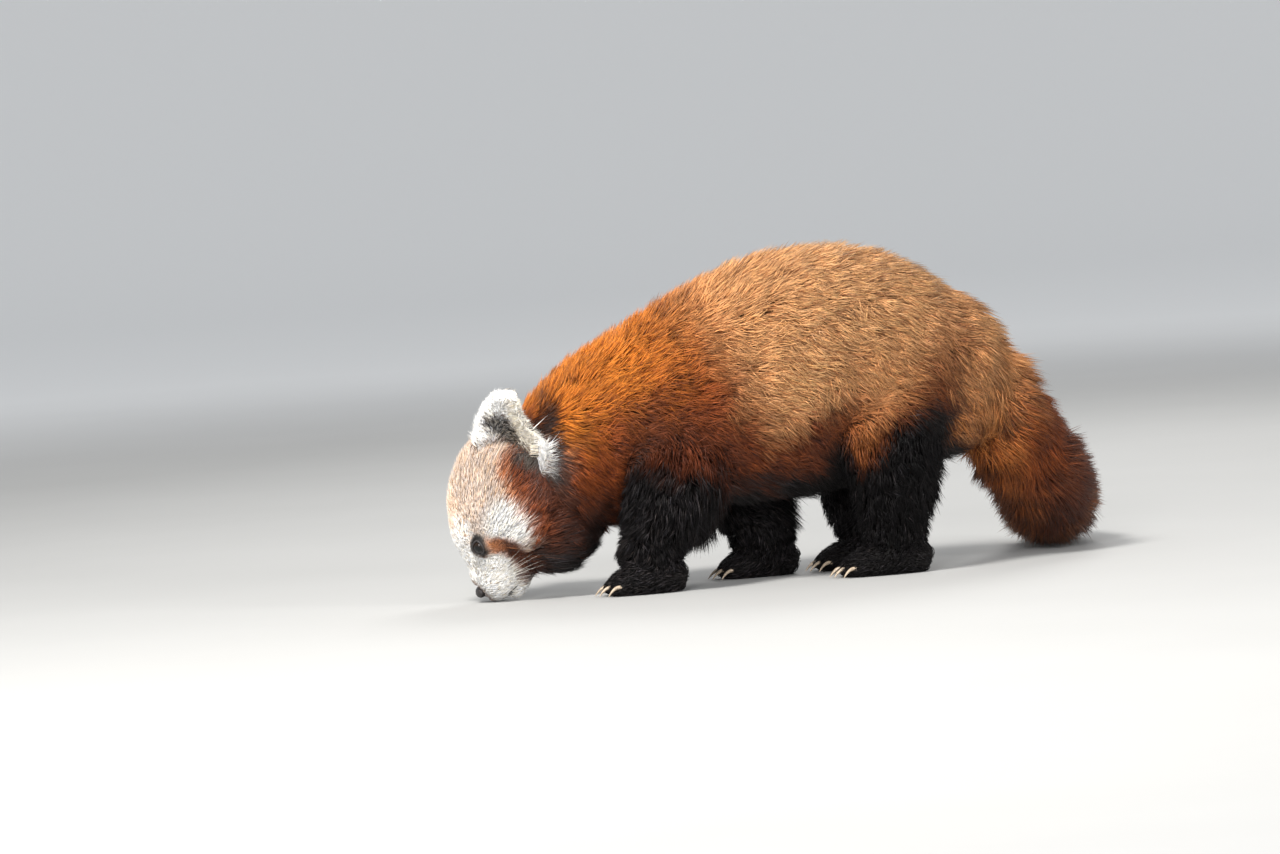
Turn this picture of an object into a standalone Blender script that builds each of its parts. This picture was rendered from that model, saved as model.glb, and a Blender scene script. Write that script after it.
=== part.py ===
"""Life-size red panda standing with its head lowered to sniff the ground.

The animal faces -X, its left side is -Y and up is +Z. Sizes below are millimetres on a plan whose
origin is on the floor under the back of the head. main() moves the finished model so that its origin
is at the bottom centre of its box, and scales it to metres.
"""

import math
import random

import bmesh
import bpy
import numpy as np
from mathutils import Matrix, Vector
from mathutils.bvhtree import BVHTree

MM = 0.001
GAP = 0.3  # between nodes that meet
CORE_SHARE = 0.5  # how far the core of each node reaches from the skin to the tips of the coat
SEED = 1
LAYINGS = 20  # tries at laying a node's locks so that no two edges touch
# Each ring of a lock, then its tip: how far on it is from the last, and its height as a share of the
# lift, where 0 is the sunk root. Then the width of each ring as a share, and its thickness in mm.
LOCK_PROFILE = ((0.0, 0.0), (0.36, 0.5), (0.36, 0.85), (0.28, 1.0))
LOCK_SECTION = ((0.75, 2.5), (1.0, 4.0), (0.62, 3.0))
LOCK_SINK = 5.0  # how deep a lock is rooted
LOCK_STEP = 0.7  # distance from one ring of locks to the next, as a share of their length
LOCK_COVER = 0.95  # width of a lock as a share of its lane
SMALLER = (1.0, 0.85, 0.7, 0.55)      # shares of a lock's size, tried in turn until it doesn't fold
LOWEST_LOCK = -2.0  # locks that would hang lower are laid at this level, then cut at the floor
LOWEST_ROOT = 14.0
LEG_LINE = 128.0  # height at which the fur of the trunk gives way to that of the legs
LEG_REACH = 34.0  # from a leg's axis to its sides
CLEARANCE = GAP + 0.1
COAT_SOLVER = "MANIFOLD"  # the EXACT solver leaves open edges where many locks cross
HEAD_TRIANGLES = 950
NECK_TRIANGLES = 300

# Each row of a tube is the axis point x, y, z, the half width, the reach above and below the axis,
# and the depth of the coat over the skin there.
NECK = [
    (22, 0, 100, 38, 43, 42, 12),
    (45, 0, 109, 41, 49, 49, 15),
    (70, 0, 122, 46, 54, 54, 18),
    (105, 0, 141, 53, 60, 64, 20),
]
THROAT = ((52, 0, 70), (30, 36, 38), 12)  # centre, radii and coat of the full throat under the jaw
TRUNK = [
    (80, 0, 127, 38, 44, 46, 15),
    (105, 0, 141, 53, 60, 64, 20),
    (150, 0, 160, 60, 66, 74, 20),
    (210, 0, 176, 66, 82, 90, 20),
    (275, 0, 187, 70, 94, 98, 20),
    (335, 0, 186, 68, 92, 90, 20),
    (385, 0, 172, 60, 76, 74, 20),
    (422, 0, 152, 46, 54, 50, 18),
    (444, 0, 138, 27, 30, 28, 16),
    (454, 0, 130, 6, 6, 6, 12),
]
TAIL = [
    (408, 0, 188, 22, 24, 22, 22),
    (441, 6, 162, 22, 24, 20, 33),
    (478, 26, 118, 20, 23, 17, 37),
    (508, 60, 77, 18, 20, 16, 37),
    (526, 104, 50, 15, 15, 15, 36),
    (539, 150, 42, 13, 13, 13, 34),
    (547, 194, 37, 10, 10, 10, 31),
    (552, 228, 31, 7, 7, 7, 26),
    (554, 250, 25, 3, 3, 3, 15),
]
TAIL_SPLIT = 0.4  # share of the tail's length at which its two nodes meet

FRONT_LEFT = [
    (168, -30, 172, 20, 28, 28, 10),
    (163, -40, 138, 24, 33, 34, 12),
    (155, -51, 100, 26, 33, 33, 14),
    (145, -52, 70, 22, 28, 29, 14),
    (137, -49, 44, 19, 22, 24, 12),
    (134, -47, 18, 17, 19, 21, 10),
]
FRONT_RIGHT = [
    (180, 30, 170, 20, 28, 28, 10),
    (194, 41, 136, 24, 33, 32, 12),
    (214, 51, 100, 25, 31, 30, 14),
    (234, 51, 70, 21, 26, 26, 13),
    (246, 48, 44, 18, 22, 21, 11),
    (251, 46, 18, 17, 19, 19, 10),
]
HIND_LEFT = [
    (368, -30, 180, 22, 32, 38, 10),
    (362, -42, 145, 25, 36, 44, 12),
    (358, -53, 108, 28, 31, 42, 12),
    (357, -54, 76, 23, 25, 32, 11),
    (356, -50, 46, 19, 20, 24, 10),
    (352, -47, 18, 17, 17, 19, 9),
]
HIND_RIGHT = [
    (366, 30, 180, 22, 32, 38, 10),
    (356, 42, 145, 25, 36, 44, 12),
    (348, 53, 108, 28, 31, 40, 12),
    (342, 54, 76, 23, 25, 31, 11),
    (343, 50, 46, 19, 20, 24, 10),
    (344, 47, 18, 17, 17, 19, 9),
]
LEGS = {
    "front_leg_left": FRONT_LEFT,
    "front_leg_right": FRONT_RIGHT,
    "hind_leg_left": HIND_LEFT,
    "hind_leg_right": HIND_RIGHT,
}
FRONT_PAW = [
    (-36, 0, 8, 13, 5, 8, 2),
    (-27, 0, 10, 20, 9, 12, 3),
    (-8, 0, 13, 22, 13, 15, 4),
    (14, 0, 14, 19, 15, 16, 4),
    (27, 0, 13, 14, 12, 15, 4),
    (34, 0, 11, 6, 6, 8, 3),
]
HIND_PAW = [
    (-46, 0, 8, 13, 5, 8, 2),
    (-36, 0, 10, 20, 9, 12, 3),
    (-14, 0, 13, 22, 13, 15, 4),
    (14, 0, 14, 18, 15, 16, 4),
    (27, 0, 13, 13, 12, 15, 4),
    (34, 0, 11, 6, 6, 8, 3),
]
PAWS = {
    "front_paw_left": (FRONT_PAW, (129, -48)),
    "front_paw_right": (FRONT_PAW, (246, 47)),
    "hind_paw_left": (HIND_PAW, (352, -48)),
    "hind_paw_right": (HIND_PAW, (346, 48)),
}
TOES = 5
TOE_SIZE = (11, 5.2, 7)
CLAW_LENGTH = 11
CLAW_RADIUS = 1.7
CLAW_DROP = 7.4
CLAW_PROFILE = ((0.0, 1.0), (0.45, 0.85), (0.8, 0.5))

# The head's own frame has x towards the nose, y to the animal's left and z towards the crown.
HEAD_CENTRE = Vector((10, 0, 97))
HEAD_PITCH = math.radians(65)
HEAD_YAW = math.radians(-6)
# Rows: place along x, crown height, throat height, half width, coat.
HEAD_ROWS = [
    (-50, 12, -14, 14, 6),
    (-44, 28, -26, 30, 7),
    (-28, 41, -38, 41, 8),
    (-8, 45, -44, 45, 8),
    (14, 43, -46, 45, 7),
    (34, 34, -45, 39, 5),
    (50, 21, -43, 31, 3),
    (64, 10, -41, 24, 2),
    (77, 0, -38, 20, 2),
    (87, -8, -32, 15, 2),
    (93, -14, -24, 6, 1),
]
# Forms melted into the skull: centre, radii and coat, the first four on both sides.
HEAD_FORMS = [
    ((6, 27, -12), (32, 21, 27), 8),
    ((22, 26, -24), (22, 19, 18), 8),
    ((40, 18, 16), (12, 10, 9), 3),
    ((74, 10.5, -22), (15, 13, 13), 2),
    ((69, 0, -40), (15, 11, 8), 1.5),
]
EYE_PLACE = Vector((49.5, 28, 4.5))
EYE_AIM = Vector((0.62, 0.76, 0.16)).normalized()
EYE_RADIUS = 8.0
NOSE_PLACE = Vector((91, 0, -13))
NOSE_SIZE = (6.5, 9.0, 6.5)
SEPTUM_SIZE = (4.0, 3.2, 5.5)
# The left half of the mouth, from under the nose back along the lip.
MOUTH = ((93, 0, -26), (89, 5, -31), (82, 12, -34.5), (74, 18, -37), (66, 22, -38), (60, 24, -37))
MOUTH_SLIT = 1.8
MOUTH_DEPTH = 3.6
# Ear: medial root, lateral root and tip in the head's frame.
EAR_MEDIAL = Vector((-22, 20, 37))
EAR_LATERAL = Vector((-28, 40, -27))
EAR_TIP = Vector((-89, 61, 24))
EAR_CUP = 11
EAR_THICKNESS = 7
HANDS = {"ear_left": 1, "ear_right": -1}
# Tufts at the lateral root of the ear: root, tip and half width.
EAR_TUFTS = [
    ((-29, 39, -17), (-47, 53, -38), 8),
    ((-40, 41, -19), (-58, 58, -30), 7),
]

COLOURS = {
    "rufous": (0.36, 0.115, 0.03),
    "tan": (0.45, 0.2, 0.07),
    "black": (0.012, 0.010, 0.011),
    "pale": (0.62, 0.53, 0.44),
    "white": (0.8, 0.77, 0.7),
    "ringed": (0.33, 0.12, 0.045),
    "eye": (0.012, 0.006, 0.004),
    "nose": (0.015, 0.012, 0.012),
}


def clear_scene():
    for old in list(bpy.data.objects):
        bpy.data.objects.remove(old)


def material(name):
    found = bpy.data.materials.get(name)
    if found:
        return found
    made = bpy.data.materials.new(name)
    made.use_nodes = True
    shader = made.node_tree.nodes["Principled BSDF"]
    shader.inputs["Base Color"].default_value = (*COLOURS[name], 1)
    shader.inputs["Roughness"].default_value = 0.15 if name == "eye" else 0.75
    shader.inputs["Metallic"].default_value = 0.0
    return made


def smooth_rows(rows, count):
    """The rows of named sizes, made into count rows along a Catmull-Rom curve."""
    known = np.array(rows, float)
    last = len(known) - 1
    found = []
    for place in np.linspace(0, last, count):
        i = min(int(place), last - 1)
        f = place - i
        a, b, c, d = (known[min(max(i + k, 0), last)] for k in (-1, 0, 1, 2))
        found.append(
            b + 0.5 * f * ((c - a) + f * ((2 * a - 5 * b + 4 * c - d) + f * (3 * b - a - 3 * c + d)))
        )
    return np.array(found)


def frames_along(rows):
    """Axis points with the direction, side and up vectors of a tube, carried along without twist."""
    points = [Vector(row[:3]) for row in rows]
    side = Vector((0, 1, 0))
    found = []
    for i, point in enumerate(points):
        along = (points[min(i + 1, len(points) - 1)] - points[max(i - 1, 0)]).normalized()
        side = (side - along * side.dot(along)).normalized()
        found.append((point, along, side, along.cross(side)))
    return found


def tube_rings(rows, sides, share, ends):
    """Rings of points round a tube, reaching share of the way from skin to coat tips, and its end points.

    ends says for the start and the end whether the coat reaches past it too.
    """
    rings = []
    frames = frames_along(rows)
    for row, (point, along, side, up) in zip(rows, frames):
        reach = row[6] * share
        ring = []
        for k in range(sides):
            angle = 2 * math.pi * (k + 0.5) / sides
            across, rise = math.cos(angle), math.sin(angle)
            height = (row[4] if rise > 0 else row[5]) + reach
            ring.append(point + side * across * (row[3] + reach) + up * rise * height)
        rings.append(ring)
    before, after = (row[6] * share * 0.6 * end for row, end in zip((rows[0], rows[-1]), ends))
    return rings, frames[0][0] - frames[0][1] * before, frames[-1][0] + frames[-1][1] * after


def mesh_of_rings(rings, start, end):
    """One closed mesh of rings of equal length, with a point at each end."""
    mesh = bmesh.new()
    loops = [[mesh.verts.new(point) for point in ring] for ring in rings]
    for one, two in zip(loops, loops[1:]):
        for k in range(len(one)):
            n = (k + 1) % len(one)
            mesh.faces.new((one[k], one[n], two[n]))
            mesh.faces.new((one[k], two[n], two[k]))
    for loop, tip in ((loops[0], start), (loops[-1], end)):
        point = mesh.verts.new(tip)
        for k in range(len(loop)):
            mesh.faces.new((loop[k], loop[(k + 1) % len(loop)], point))
    bmesh.ops.recalc_face_normals(mesh, faces=mesh.faces)
    return mesh


def put_in_scene(name, mesh):
    """A bmesh as an object, in plan millimetres until main() scales it."""
    data = bpy.data.meshes.new(name)
    bmesh.ops.triangulate(mesh, faces=[f for f in mesh.faces if len(f.verts) > 4])
    mesh.to_mesh(data)
    mesh.free()
    made = bpy.data.objects.new(name, data)
    bpy.context.scene.collection.objects.link(made)
    return made


def tube(name, rows, count, sides, share, ends=(True, True)):
    return put_in_scene(name, mesh_of_rings(*tube_rings(smooth_rows(rows, count), sides, share, ends)))


def ellipsoid(name, centre, radii, turn=None, columns=12, rings=8):
    mesh = bmesh.new()
    bmesh.ops.create_uvsphere(mesh, u_segments=columns, v_segments=rings, radius=1)
    place = Matrix.Translation(centre) @ (turn or Matrix.Identity(4)) @ Matrix.Diagonal((*radii, 1))
    bmesh.ops.transform(mesh, matrix=place, verts=mesh.verts)
    return put_in_scene(name, mesh)


def box(name, low, high):
    mesh = bmesh.new()
    bmesh.ops.create_cube(mesh, size=1)
    low, high = Vector(low), Vector(high)
    place = Matrix.Translation((low + high) / 2) @ Matrix.Diagonal((*(high - low), 1))
    bmesh.ops.transform(mesh, matrix=place, verts=mesh.verts)
    return put_in_scene(name, mesh)


def settle(piece):
    """Applies the modifiers of an object."""
    graph = bpy.context.evaluated_depsgraph_get()
    old = piece.data
    piece.data = bpy.data.meshes.new_from_object(piece.evaluated_get(graph))
    piece.modifiers.clear()
    bpy.data.meshes.remove(old)
    return piece


def combine(piece, others, operation="UNION", solver="EXACT"):
    """One Boolean of piece with a collection of closed meshes, which are then removed."""
    if not others:
        return piece
    group = bpy.data.collections.new("operands")
    bpy.context.scene.collection.children.link(group)
    for other in others:
        group.objects.link(other)
    join = piece.modifiers.new("join", "BOOLEAN")
    join.operation = operation
    join.solver = solver
    join.operand_type = "COLLECTION"
    join.collection = group
    bpy.context.view_layer.update()
    settle(piece)
    for other in others:
        bpy.data.objects.remove(other)
    bpy.data.collections.remove(group)
    return piece


def keep_largest(piece):
    """Keeps only the largest closed surface of a mesh."""
    mesh = bmesh.new()
    mesh.from_mesh(piece.data)
    unseen, best, most = set(mesh.verts), None, 0.0
    while unseen:
        stack, island = [unseen.pop()], set()
        while stack:
            vert = stack.pop()
            island.add(vert)
            for edge in vert.link_edges:
                other = edge.other_vert(vert)
                if other in unseen:
                    unseen.discard(other)
                    stack.append(other)
        faces = {face for vert in island for face in vert.link_faces}
        volume = abs(sum(face_volume(face) for face in faces))
        if volume > most:
            best, most = island, volume
    bmesh.ops.delete(mesh, geom=[v for v in mesh.verts if v not in best], context="VERTS")
    split_faces(mesh)
    mesh.to_mesh(piece.data)
    mesh.free()
    return piece


def split_faces(mesh):
    """Cuts all faces into triangles, without a diagonal that two faces share."""
    bmesh.ops.dissolve_verts(mesh, verts=[vert for vert in mesh.verts if len(vert.link_edges) == 2])
    doubled = True
    while doubled:
        trial = mesh.copy()
        bmesh.ops.triangulate(trial, faces=trial.faces)
        ends = [[vert.index for vert in edge.verts] for edge in trial.edges if len(edge.link_faces) > 2]
        trial.free()
        mesh.verts.ensure_lookup_table()
        mesh.faces.index_update()
        doubled = []
        for one, two in ends:
            near = [face for face in mesh.verts[one].link_faces if len(face.verts) > 3]
            both = [face for face in near if mesh.verts[two] in face.verts]
            doubled.append(min(both, key=lambda face: (face.calc_area(), face.index)))
        bmesh.ops.poke(mesh, faces=sorted(set(doubled), key=lambda face: face.index))
    bmesh.ops.triangulate(mesh, faces=mesh.faces)


def crosses_itself(mesh):
    """Whether two triangles of a mesh that share no corner run through each other."""
    mesh.faces.ensure_lookup_table()
    tree = BVHTree.FromBMesh(mesh)
    for one, two in tree.overlap(tree):
        if one < two and not set(mesh.faces[one].verts) & set(mesh.faces[two].verts):
            return True
    return False


def face_volume(face):
    """Six times the signed volume between a face and the origin."""
    corners = [vert.co for vert in face.verts]
    return sum(
        corners[0].dot(corners[k].cross(corners[k + 1])) for k in range(1, len(corners) - 1)
    )


def copy_of(piece, name):
    made = bpy.data.objects.new(name, piece.data.copy())
    bpy.context.scene.collection.objects.link(made)
    return made


def surface_of(piece):
    mesh = bmesh.new()
    mesh.from_mesh(piece.data)
    bmesh.ops.triangulate(mesh, faces=mesh.faces)
    found = BVHTree.FromBMesh(mesh)
    mesh.free()
    return found


class Coat:
    """Flat, tapered locks laid over a body's surface, each rooted in one node."""

    def __init__(self, surface):
        self.surface = surface
        self.roots = {}
        self.locks = {}

    def add(self, node, root, lie, length, width, lift):
        """Plans one lock of a node, unless its root lies inside another node."""
        if (self.surface.find_nearest(root)[0] - root).length < 3:
            self.roots.setdefault(node, []).append((root, lie, length, width, lift))

    def comb(self, node, seed):
        """Lays the locks of a node, each a little off its even place, and smaller where it would fold."""
        jitter = random.Random(seed).uniform
        self.locks[node] = []
        for root, lie, length, width, lift in self.roots.get(node, []):
            turn = Matrix.Rotation(math.radians(jitter(-6, 6)), 3, self.surface.find_nearest(root)[1])
            lie = turn @ lie.normalized()
            size, breadth, height = jitter(0.9, 1.08), jitter(0.9, 1.1), jitter(0.85, 1.05)
            for share in SMALLER:
                path = self.path(root, lie, length * size * share, lift * height)
                astray = (path[-1][0] - path[0][0]).dot(lie) < length * share / 2
                crossing = node == "torso" and any(on_leg(point) for point, _, _ in path)
                if not astray and not crossing and not self.folds(path, width * breadth * share):
                    self.locks[node].append((path, width * breadth * share))
                    break

    def path(self, root, flow, length, lift):
        """Rings and tip of a lock that walks over the surface along flow and rises to the coat's tips."""
        point, normal, _, _ = self.surface.find_nearest(root)
        found = []
        for share, height in LOCK_PROFILE:
            lie = (flow - normal * flow.dot(normal)).normalized()
            point, normal, _, _ = self.surface.find_nearest(point + lie * length * share)
            rise = lift * height if height > 0 else -LOCK_SINK
            found.append((point + normal * rise, normal, lie))
        return found

    def shape(self, path, width, grow):
        """The closed mesh of a lock, grown all round by grow."""
        rings = []
        for (point, normal, lie), (wide, thick) in zip(path, LOCK_SECTION):
            side = normal.cross(lie) * width / 2 * wide * (1 + 2.1 * grow / thick)
            base = point - normal * grow
            rings.append([base + side, point + normal * (thick + 1.1 * grow), base - side])
        start = path[0][0] - path[0][2] * (1 + grow)
        tip = path[-1][0] + path[-1][2] * 4 * grow
        mesh = mesh_of_rings(rings, start, tip)
        for vert in mesh.verts:
            vert.co.z = max(vert.co.z, LOWEST_LOCK - grow)
        return mesh

    def folds(self, path, width):
        """Whether a lock bends so sharply that its surface runs through itself."""
        for grow in (0.0, CLEARANCE):
            mesh = self.shape(path, width, grow)
            bent = crosses_itself(mesh)
            mesh.free()
            if bent:
                return True
        return False

    def pieces(self, node, grow=0.0):
        """The locks of a node as closed meshes."""
        return [put_in_scene(f"{node}_lock", self.shape(*lock, grow)) for lock in self.locks[node]]


def on_leg(point):
    """Whether a point of the coat is over a leg, below the line where the fur of the legs starts."""
    if point.z > LEG_LINE:
        return False
    for rows in LEGS.values():
        axis = smooth_rows(rows, 24)
        away = np.hypot(axis[:, 0] - point.x, axis[:, 2] - point.z)
        if np.min(away) < LEG_REACH and point.y * axis[-1, 1] > 0 and abs(point.y) > rows[0][3]:
            return True
    return False


def comb_tube(coat, node, rows, lanes, span, length, fall):
    """Staggered rings of locks along a tube, over the stretch of its axis that span gives in mm."""
    fine = smooth_rows(rows, 80)
    frames = frames_along(fine)
    steps = np.linalg.norm(np.diff(fine[:, :3], axis=0), axis=1)
    places = np.concatenate(([0], np.cumsum(steps)))
    count = int((span[1] - span[0]) / (length * LOCK_STEP)) + 1
    for ring, place in enumerate(np.linspace(*span, count)):
        index = int(np.argmin(abs(places - place)))
        row, (point, along, side, up) = fine[index], frames[index]
        reach = row[6] * CORE_SHARE
        width = math.pi * (row[3] + (row[4] + row[5]) / 2 + 2 * reach) / lanes * LOCK_COVER
        lie = along - Vector((0, 0, fall))
        for lane in range(lanes):
            angle = 2 * math.pi * (lane + 0.5 * (ring % 2)) / lanes
            height = (row[4] if math.sin(angle) > 0 else row[5]) + reach
            root = point + side * math.cos(angle) * (row[3] + reach) + up * math.sin(angle) * height
            if root.z > LOWEST_ROOT:
                coat.add(node, root, lie, length, width, row[6] - reach)


def head_matrix():
    turn = Matrix.Rotation(math.pi + HEAD_YAW, 4, "Z") @ Matrix.Rotation(HEAD_PITCH, 4, "Y")
    return Matrix.Translation(HEAD_CENTRE) @ turn


def mirrored(vector, hand):
    """A point or direction of the left side, or of the right for hand -1."""
    return Vector((vector.x, vector.y * hand, vector.z))


def head_core(share):
    """The skull, cheeks, brows, whisker pads and chin, melted into one surface."""
    rows = []
    for x, top, low, wide, coat in HEAD_ROWS:
        rows.append((x, 0, (top + low) / 2, wide, (top - low) / 2, (top - low) / 2, coat))
    skull = tube("head", rows, 22, 28, share)
    forms = []
    for centre, radii, coat in HEAD_FORMS:
        for hand in (1, -1) if centre[1] else (1,):
            reach = [radius + coat * share for radius in radii]
            forms.append(ellipsoid("form", mirrored(Vector(centre), hand), reach, None, 18, 12))
    return to_plan(melted(combine(skull, forms), 2.6, 6, HEAD_TRIANGLES))


def melted(piece, voxel, rounds, triangles):
    """Blends the forms of a union into one smooth surface of about this many triangles."""
    melt = piece.modifiers.new("melt", "REMESH")
    melt.mode = "VOXEL"
    melt.voxel_size = voxel
    soften = piece.modifiers.new("soften", "SMOOTH")
    soften.iterations = rounds
    soften.factor = 0.5
    return thin_out(settle(piece), triangles)


def thin_out(piece, triangles):
    """Reduces a mesh to about this many triangles."""
    reduce = piece.modifiers.new("reduce", "DECIMATE")
    reduce.ratio = min(1.0, triangles / sum(len(face.vertices) - 2 for face in piece.data.polygons))
    return settle(piece)


def swollen(piece, amount):
    """A copy whose surface stands off by an amount all round."""
    made = copy_of(piece, f"{piece.name}_swollen")
    mesh = bmesh.new()
    mesh.from_mesh(made.data)
    mesh.normal_update()
    for vert, way in [(vert, vert.normal.copy()) for vert in mesh.verts]:
        vert.co += way * amount
    mesh.to_mesh(made.data)
    mesh.free()
    return made


def ring_of(name, points, radius, sides=5):
    """A closed loop of round section through the points."""
    rings = []
    count = len(points)
    centre = sum(points, Vector()) / count
    for i, point in enumerate(points):
        along = (points[(i + 1) % count] - points[i - 1]).normalized()
        out = (point - centre).normalized()
        lift = along.cross(out).normalized()
        out = lift.cross(along)
        angles = [2 * math.pi * k / sides for k in range(sides)]
        rings.append([point + (out * math.cos(a) + lift * math.sin(a)) * radius for a in angles])
    mesh = bmesh.new()
    loops = [[mesh.verts.new(p) for p in ring] for ring in rings]
    for i in range(count):
        one, two = loops[i], loops[(i + 1) % count]
        for k in range(sides):
            n = (k + 1) % sides
            mesh.faces.new((one[k], one[n], two[n], two[k]))
    bmesh.ops.recalc_face_normals(mesh, faces=mesh.faces)
    return put_in_scene(name, mesh)


def eye_outline(hand, points=12, long=10.2, short=6.8, out=4.6):
    """The rim of the lids, an almond round the eye's aim, longer towards the nose."""
    aim, centre = mirrored(EYE_AIM, hand), mirrored(EYE_PLACE, hand)
    nose_way = Vector((1, -0.35 * hand, -0.55))
    long_way = (nose_way - aim * nose_way.dot(aim)).normalized()
    short_way = aim.cross(long_way)
    found = []
    for k in range(points):
        angle = 2 * math.pi * k / points
        found.append(
            centre
            + long_way * long * math.cos(angle)
            + short_way * short * math.sin(angle) * (1 - 0.18 * math.cos(angle) ** 2)
            + aim * (out - 3.2 * abs(math.cos(angle)) ** 3)
        )
    return found


def mouth_line(hand):
    """Points of one half of the mouth, from under the nose back along the lip."""
    return [mirrored(Vector(point), hand) for point in MOUTH]


def mouth_cutter(hand):
    """A thin blade along the lip that leaves the line of the closed mouth."""
    line = mouth_line(hand)
    half = Vector((0, 0, MOUTH_SLIT / 2))
    rings = []
    for point in line:
        out = Vector((point.x - 62, point.y * 1.5, 0)).normalized()
        rings.append([point + out * 8 + half, point + out * 8 - half, point - out * MOUTH_DEPTH])
    mesh = mesh_of_rings(rings, line[0] + Vector((0, -1.5 * hand, 0)), line[-1] + Vector((-2, 0, 1)))
    return put_in_scene("mouth", mesh)


def nose(grow=0.0):
    pad = ellipsoid("nose", NOSE_PLACE, [r + grow for r in NOSE_SIZE], None, 12, 7)
    low = NOSE_PLACE + Vector((-1.5, 0, -6))
    septum = ellipsoid("septum", low, [r + grow for r in SEPTUM_SIZE], None, 6, 5)
    return combine(pad, [septum])


def nostril(hand):
    turn = Matrix.Rotation(math.radians(-30 * hand), 4, "X")
    place = NOSE_PLACE + Vector((5.6, 4.3 * hand, 0.2))
    return ellipsoid("nostril", place, (3.4, 1.5, 2.3), turn, 6, 5)


def ear_frame(hand):
    """The middle of the ear's root, half its width, its height and the way its cup faces."""
    medial, lateral, tip = (mirrored(v, hand) for v in (EAR_MEDIAL, EAR_LATERAL, EAR_TIP))
    root, across = (medial + lateral) / 2, (medial - lateral) / 2
    rise = tip - root
    return root, across, rise, (rise.cross(across) * hand).normalized()


def ear(name):
    """A cupped, rounded triangle of an ear, open to the side and thick with short fur."""
    root, across, rise, face = ear_frame(HANDS[name])
    columns, levels = 7, 8
    rings = []
    for level in range(levels):
        turn = math.pi / 2 * level / (levels - 1)
        v = -0.22 + 1.2 * math.sin(turn)
        wide = max(1 - max(v, 0) ** 2.4, 0.0) ** 0.55 * (1 + 0.1 * v)
        half = EAR_THICKNESS / 2 * (1.2 - 0.4 * max(v, 0))
        fronts, backs = [], []
        for column in range(columns):
            u = -1 + 2 * column / (columns - 1)
            cup = EAR_CUP * (1 - u * u) * wide
            middle = root + rise * v + across * u * wide - face * (cup - 6 * v * v)
            edge = half * (1 - 0.45 * u * u)
            fronts.append(middle + face * edge)
            backs.append(middle - face * edge)
        rings.append(fronts + backs[::-1])
    start = sum(rings[0], Vector()) / len(rings[0]) - rise.normalized()
    end = sum(rings[-1], Vector()) / len(rings[-1]) + rise.normalized() * 1.5
    return to_plan(put_in_scene(name, mesh_of_rings(rings, start, end)))


def ear_tuft(hand, root, tip, half, grow):
    """A flat, tapered tuft of long hair that stands out from the ear's lateral root."""
    face = ear_frame(hand)[3]
    root, tip = mirrored(Vector(root), hand), mirrored(Vector(tip), hand)
    along = tip - root
    side = along.cross(face).normalized()
    rings = []
    for share, wide in ((0.0, 0.7), (0.35, 1.0), (0.7, 0.65)):
        middle, reach = root + along * share, side * (half * wide + 3 * grow)
        rings.append([middle + reach, middle + face * (3 + grow), middle - reach, middle - face * (2 + grow)])
    start = root - along.normalized() * (2 + grow)
    end = tip + along.normalized() * 3 * grow
    return to_plan(put_in_scene("tuft", mesh_of_rings(rings, start, end)))


def to_plan(piece):
    """Moves a piece from the head's frame to the plan."""
    piece.data.transform(head_matrix())
    piece.data.update()
    return piece


def paw(name):
    """One foot with its toes and claws, flat underneath."""
    rows, (x, y) = PAWS[name]
    placed = [(row[0] + x, row[1] + y, *row[2:]) for row in rows]
    piece = tube(name, placed, 7, 9, 1.0)
    front = Vector((x + rows[0][0] + 2, y, 7.2))
    for toe in range(TOES):
        spread = 2 * toe / (TOES - 1) - 1
        turn = Matrix.Rotation(-0.35 * spread, 4, "Z")
        centre = front + Vector((8 * spread * spread, 17 * spread, 0))
        combine(piece, [ellipsoid("toe", centre, TOE_SIZE, turn, 6, 4), claw(centre, turn)])
    combine(piece, [floor_cutter()], "DIFFERENCE")
    return keep_largest(piece)


def claw(centre, turn):
    """A curved claw that grows from the top of a toe and bends down to the floor."""
    ahead = turn @ Vector((-1, 0, 0))
    knuckle = centre + ahead * 6 + Vector((0, 0, 1.5))
    rings = []
    for share, radius in CLAW_PROFILE:
        point = knuckle + ahead * CLAW_LENGTH * share - Vector((0, 0, CLAW_DROP * share * share))
        ring = []
        for k in range(3):
            angle = math.pi * (2 * k / 3 + 0.5)
            side = turn @ Vector((0, 0.8 * math.cos(angle), 0))
            ring.append(point + (side + Vector((0, 0, math.sin(angle)))) * CLAW_RADIUS * radius)
        rings.append(ring)
    tip = knuckle + ahead * CLAW_LENGTH - Vector((0, 0, CLAW_DROP))
    return put_in_scene("claw", mesh_of_rings(rings, knuckle - ahead * 2, tip))


def floor_cutter():
    return box("floor", (-300, -300, -80), (800, 400, 0))


def neck_core(share):
    """The neck with the full throat under the jaw."""
    neck = tube("neck", NECK, 12, 28, share, (False, False))
    centre, radii, coat = THROAT
    throat = ellipsoid("throat", centre, [r + coat * share for r in radii], None, 18, 12)
    return melted(combine(neck, [throat]), 4.0, 6, NECK_TRIANGLES)


def tail_rows():
    """The rows of the tail's two lengths, of which the second starts inside the first."""
    fine = smooth_rows(TAIL, 41)
    split = int(round(TAIL_SPLIT * 40))
    return fine[: split + 1], fine[split - 2 :]


def body_forms(share):
    """The cores by node name, each one closed mesh in plan millimetres."""
    open_front, open_back = (False, True), (True, False)
    upper, lower = tail_rows()
    forms = {
        "head": head_core(1.0),
        "neck": neck_core(share),
        "torso": tube("torso", TRUNK, 16, 18, share, open_front),
        "tail_upper": tube("tail_upper", upper, 7, 10, share, open_back),
        "tail_lower": tube("tail_lower", lower, 9, 10, share, open_front),
    }
    for name, rows in LEGS.items():
        forms[name] = tube(name, rows, 7, 10, share, open_back)
    return forms


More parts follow.
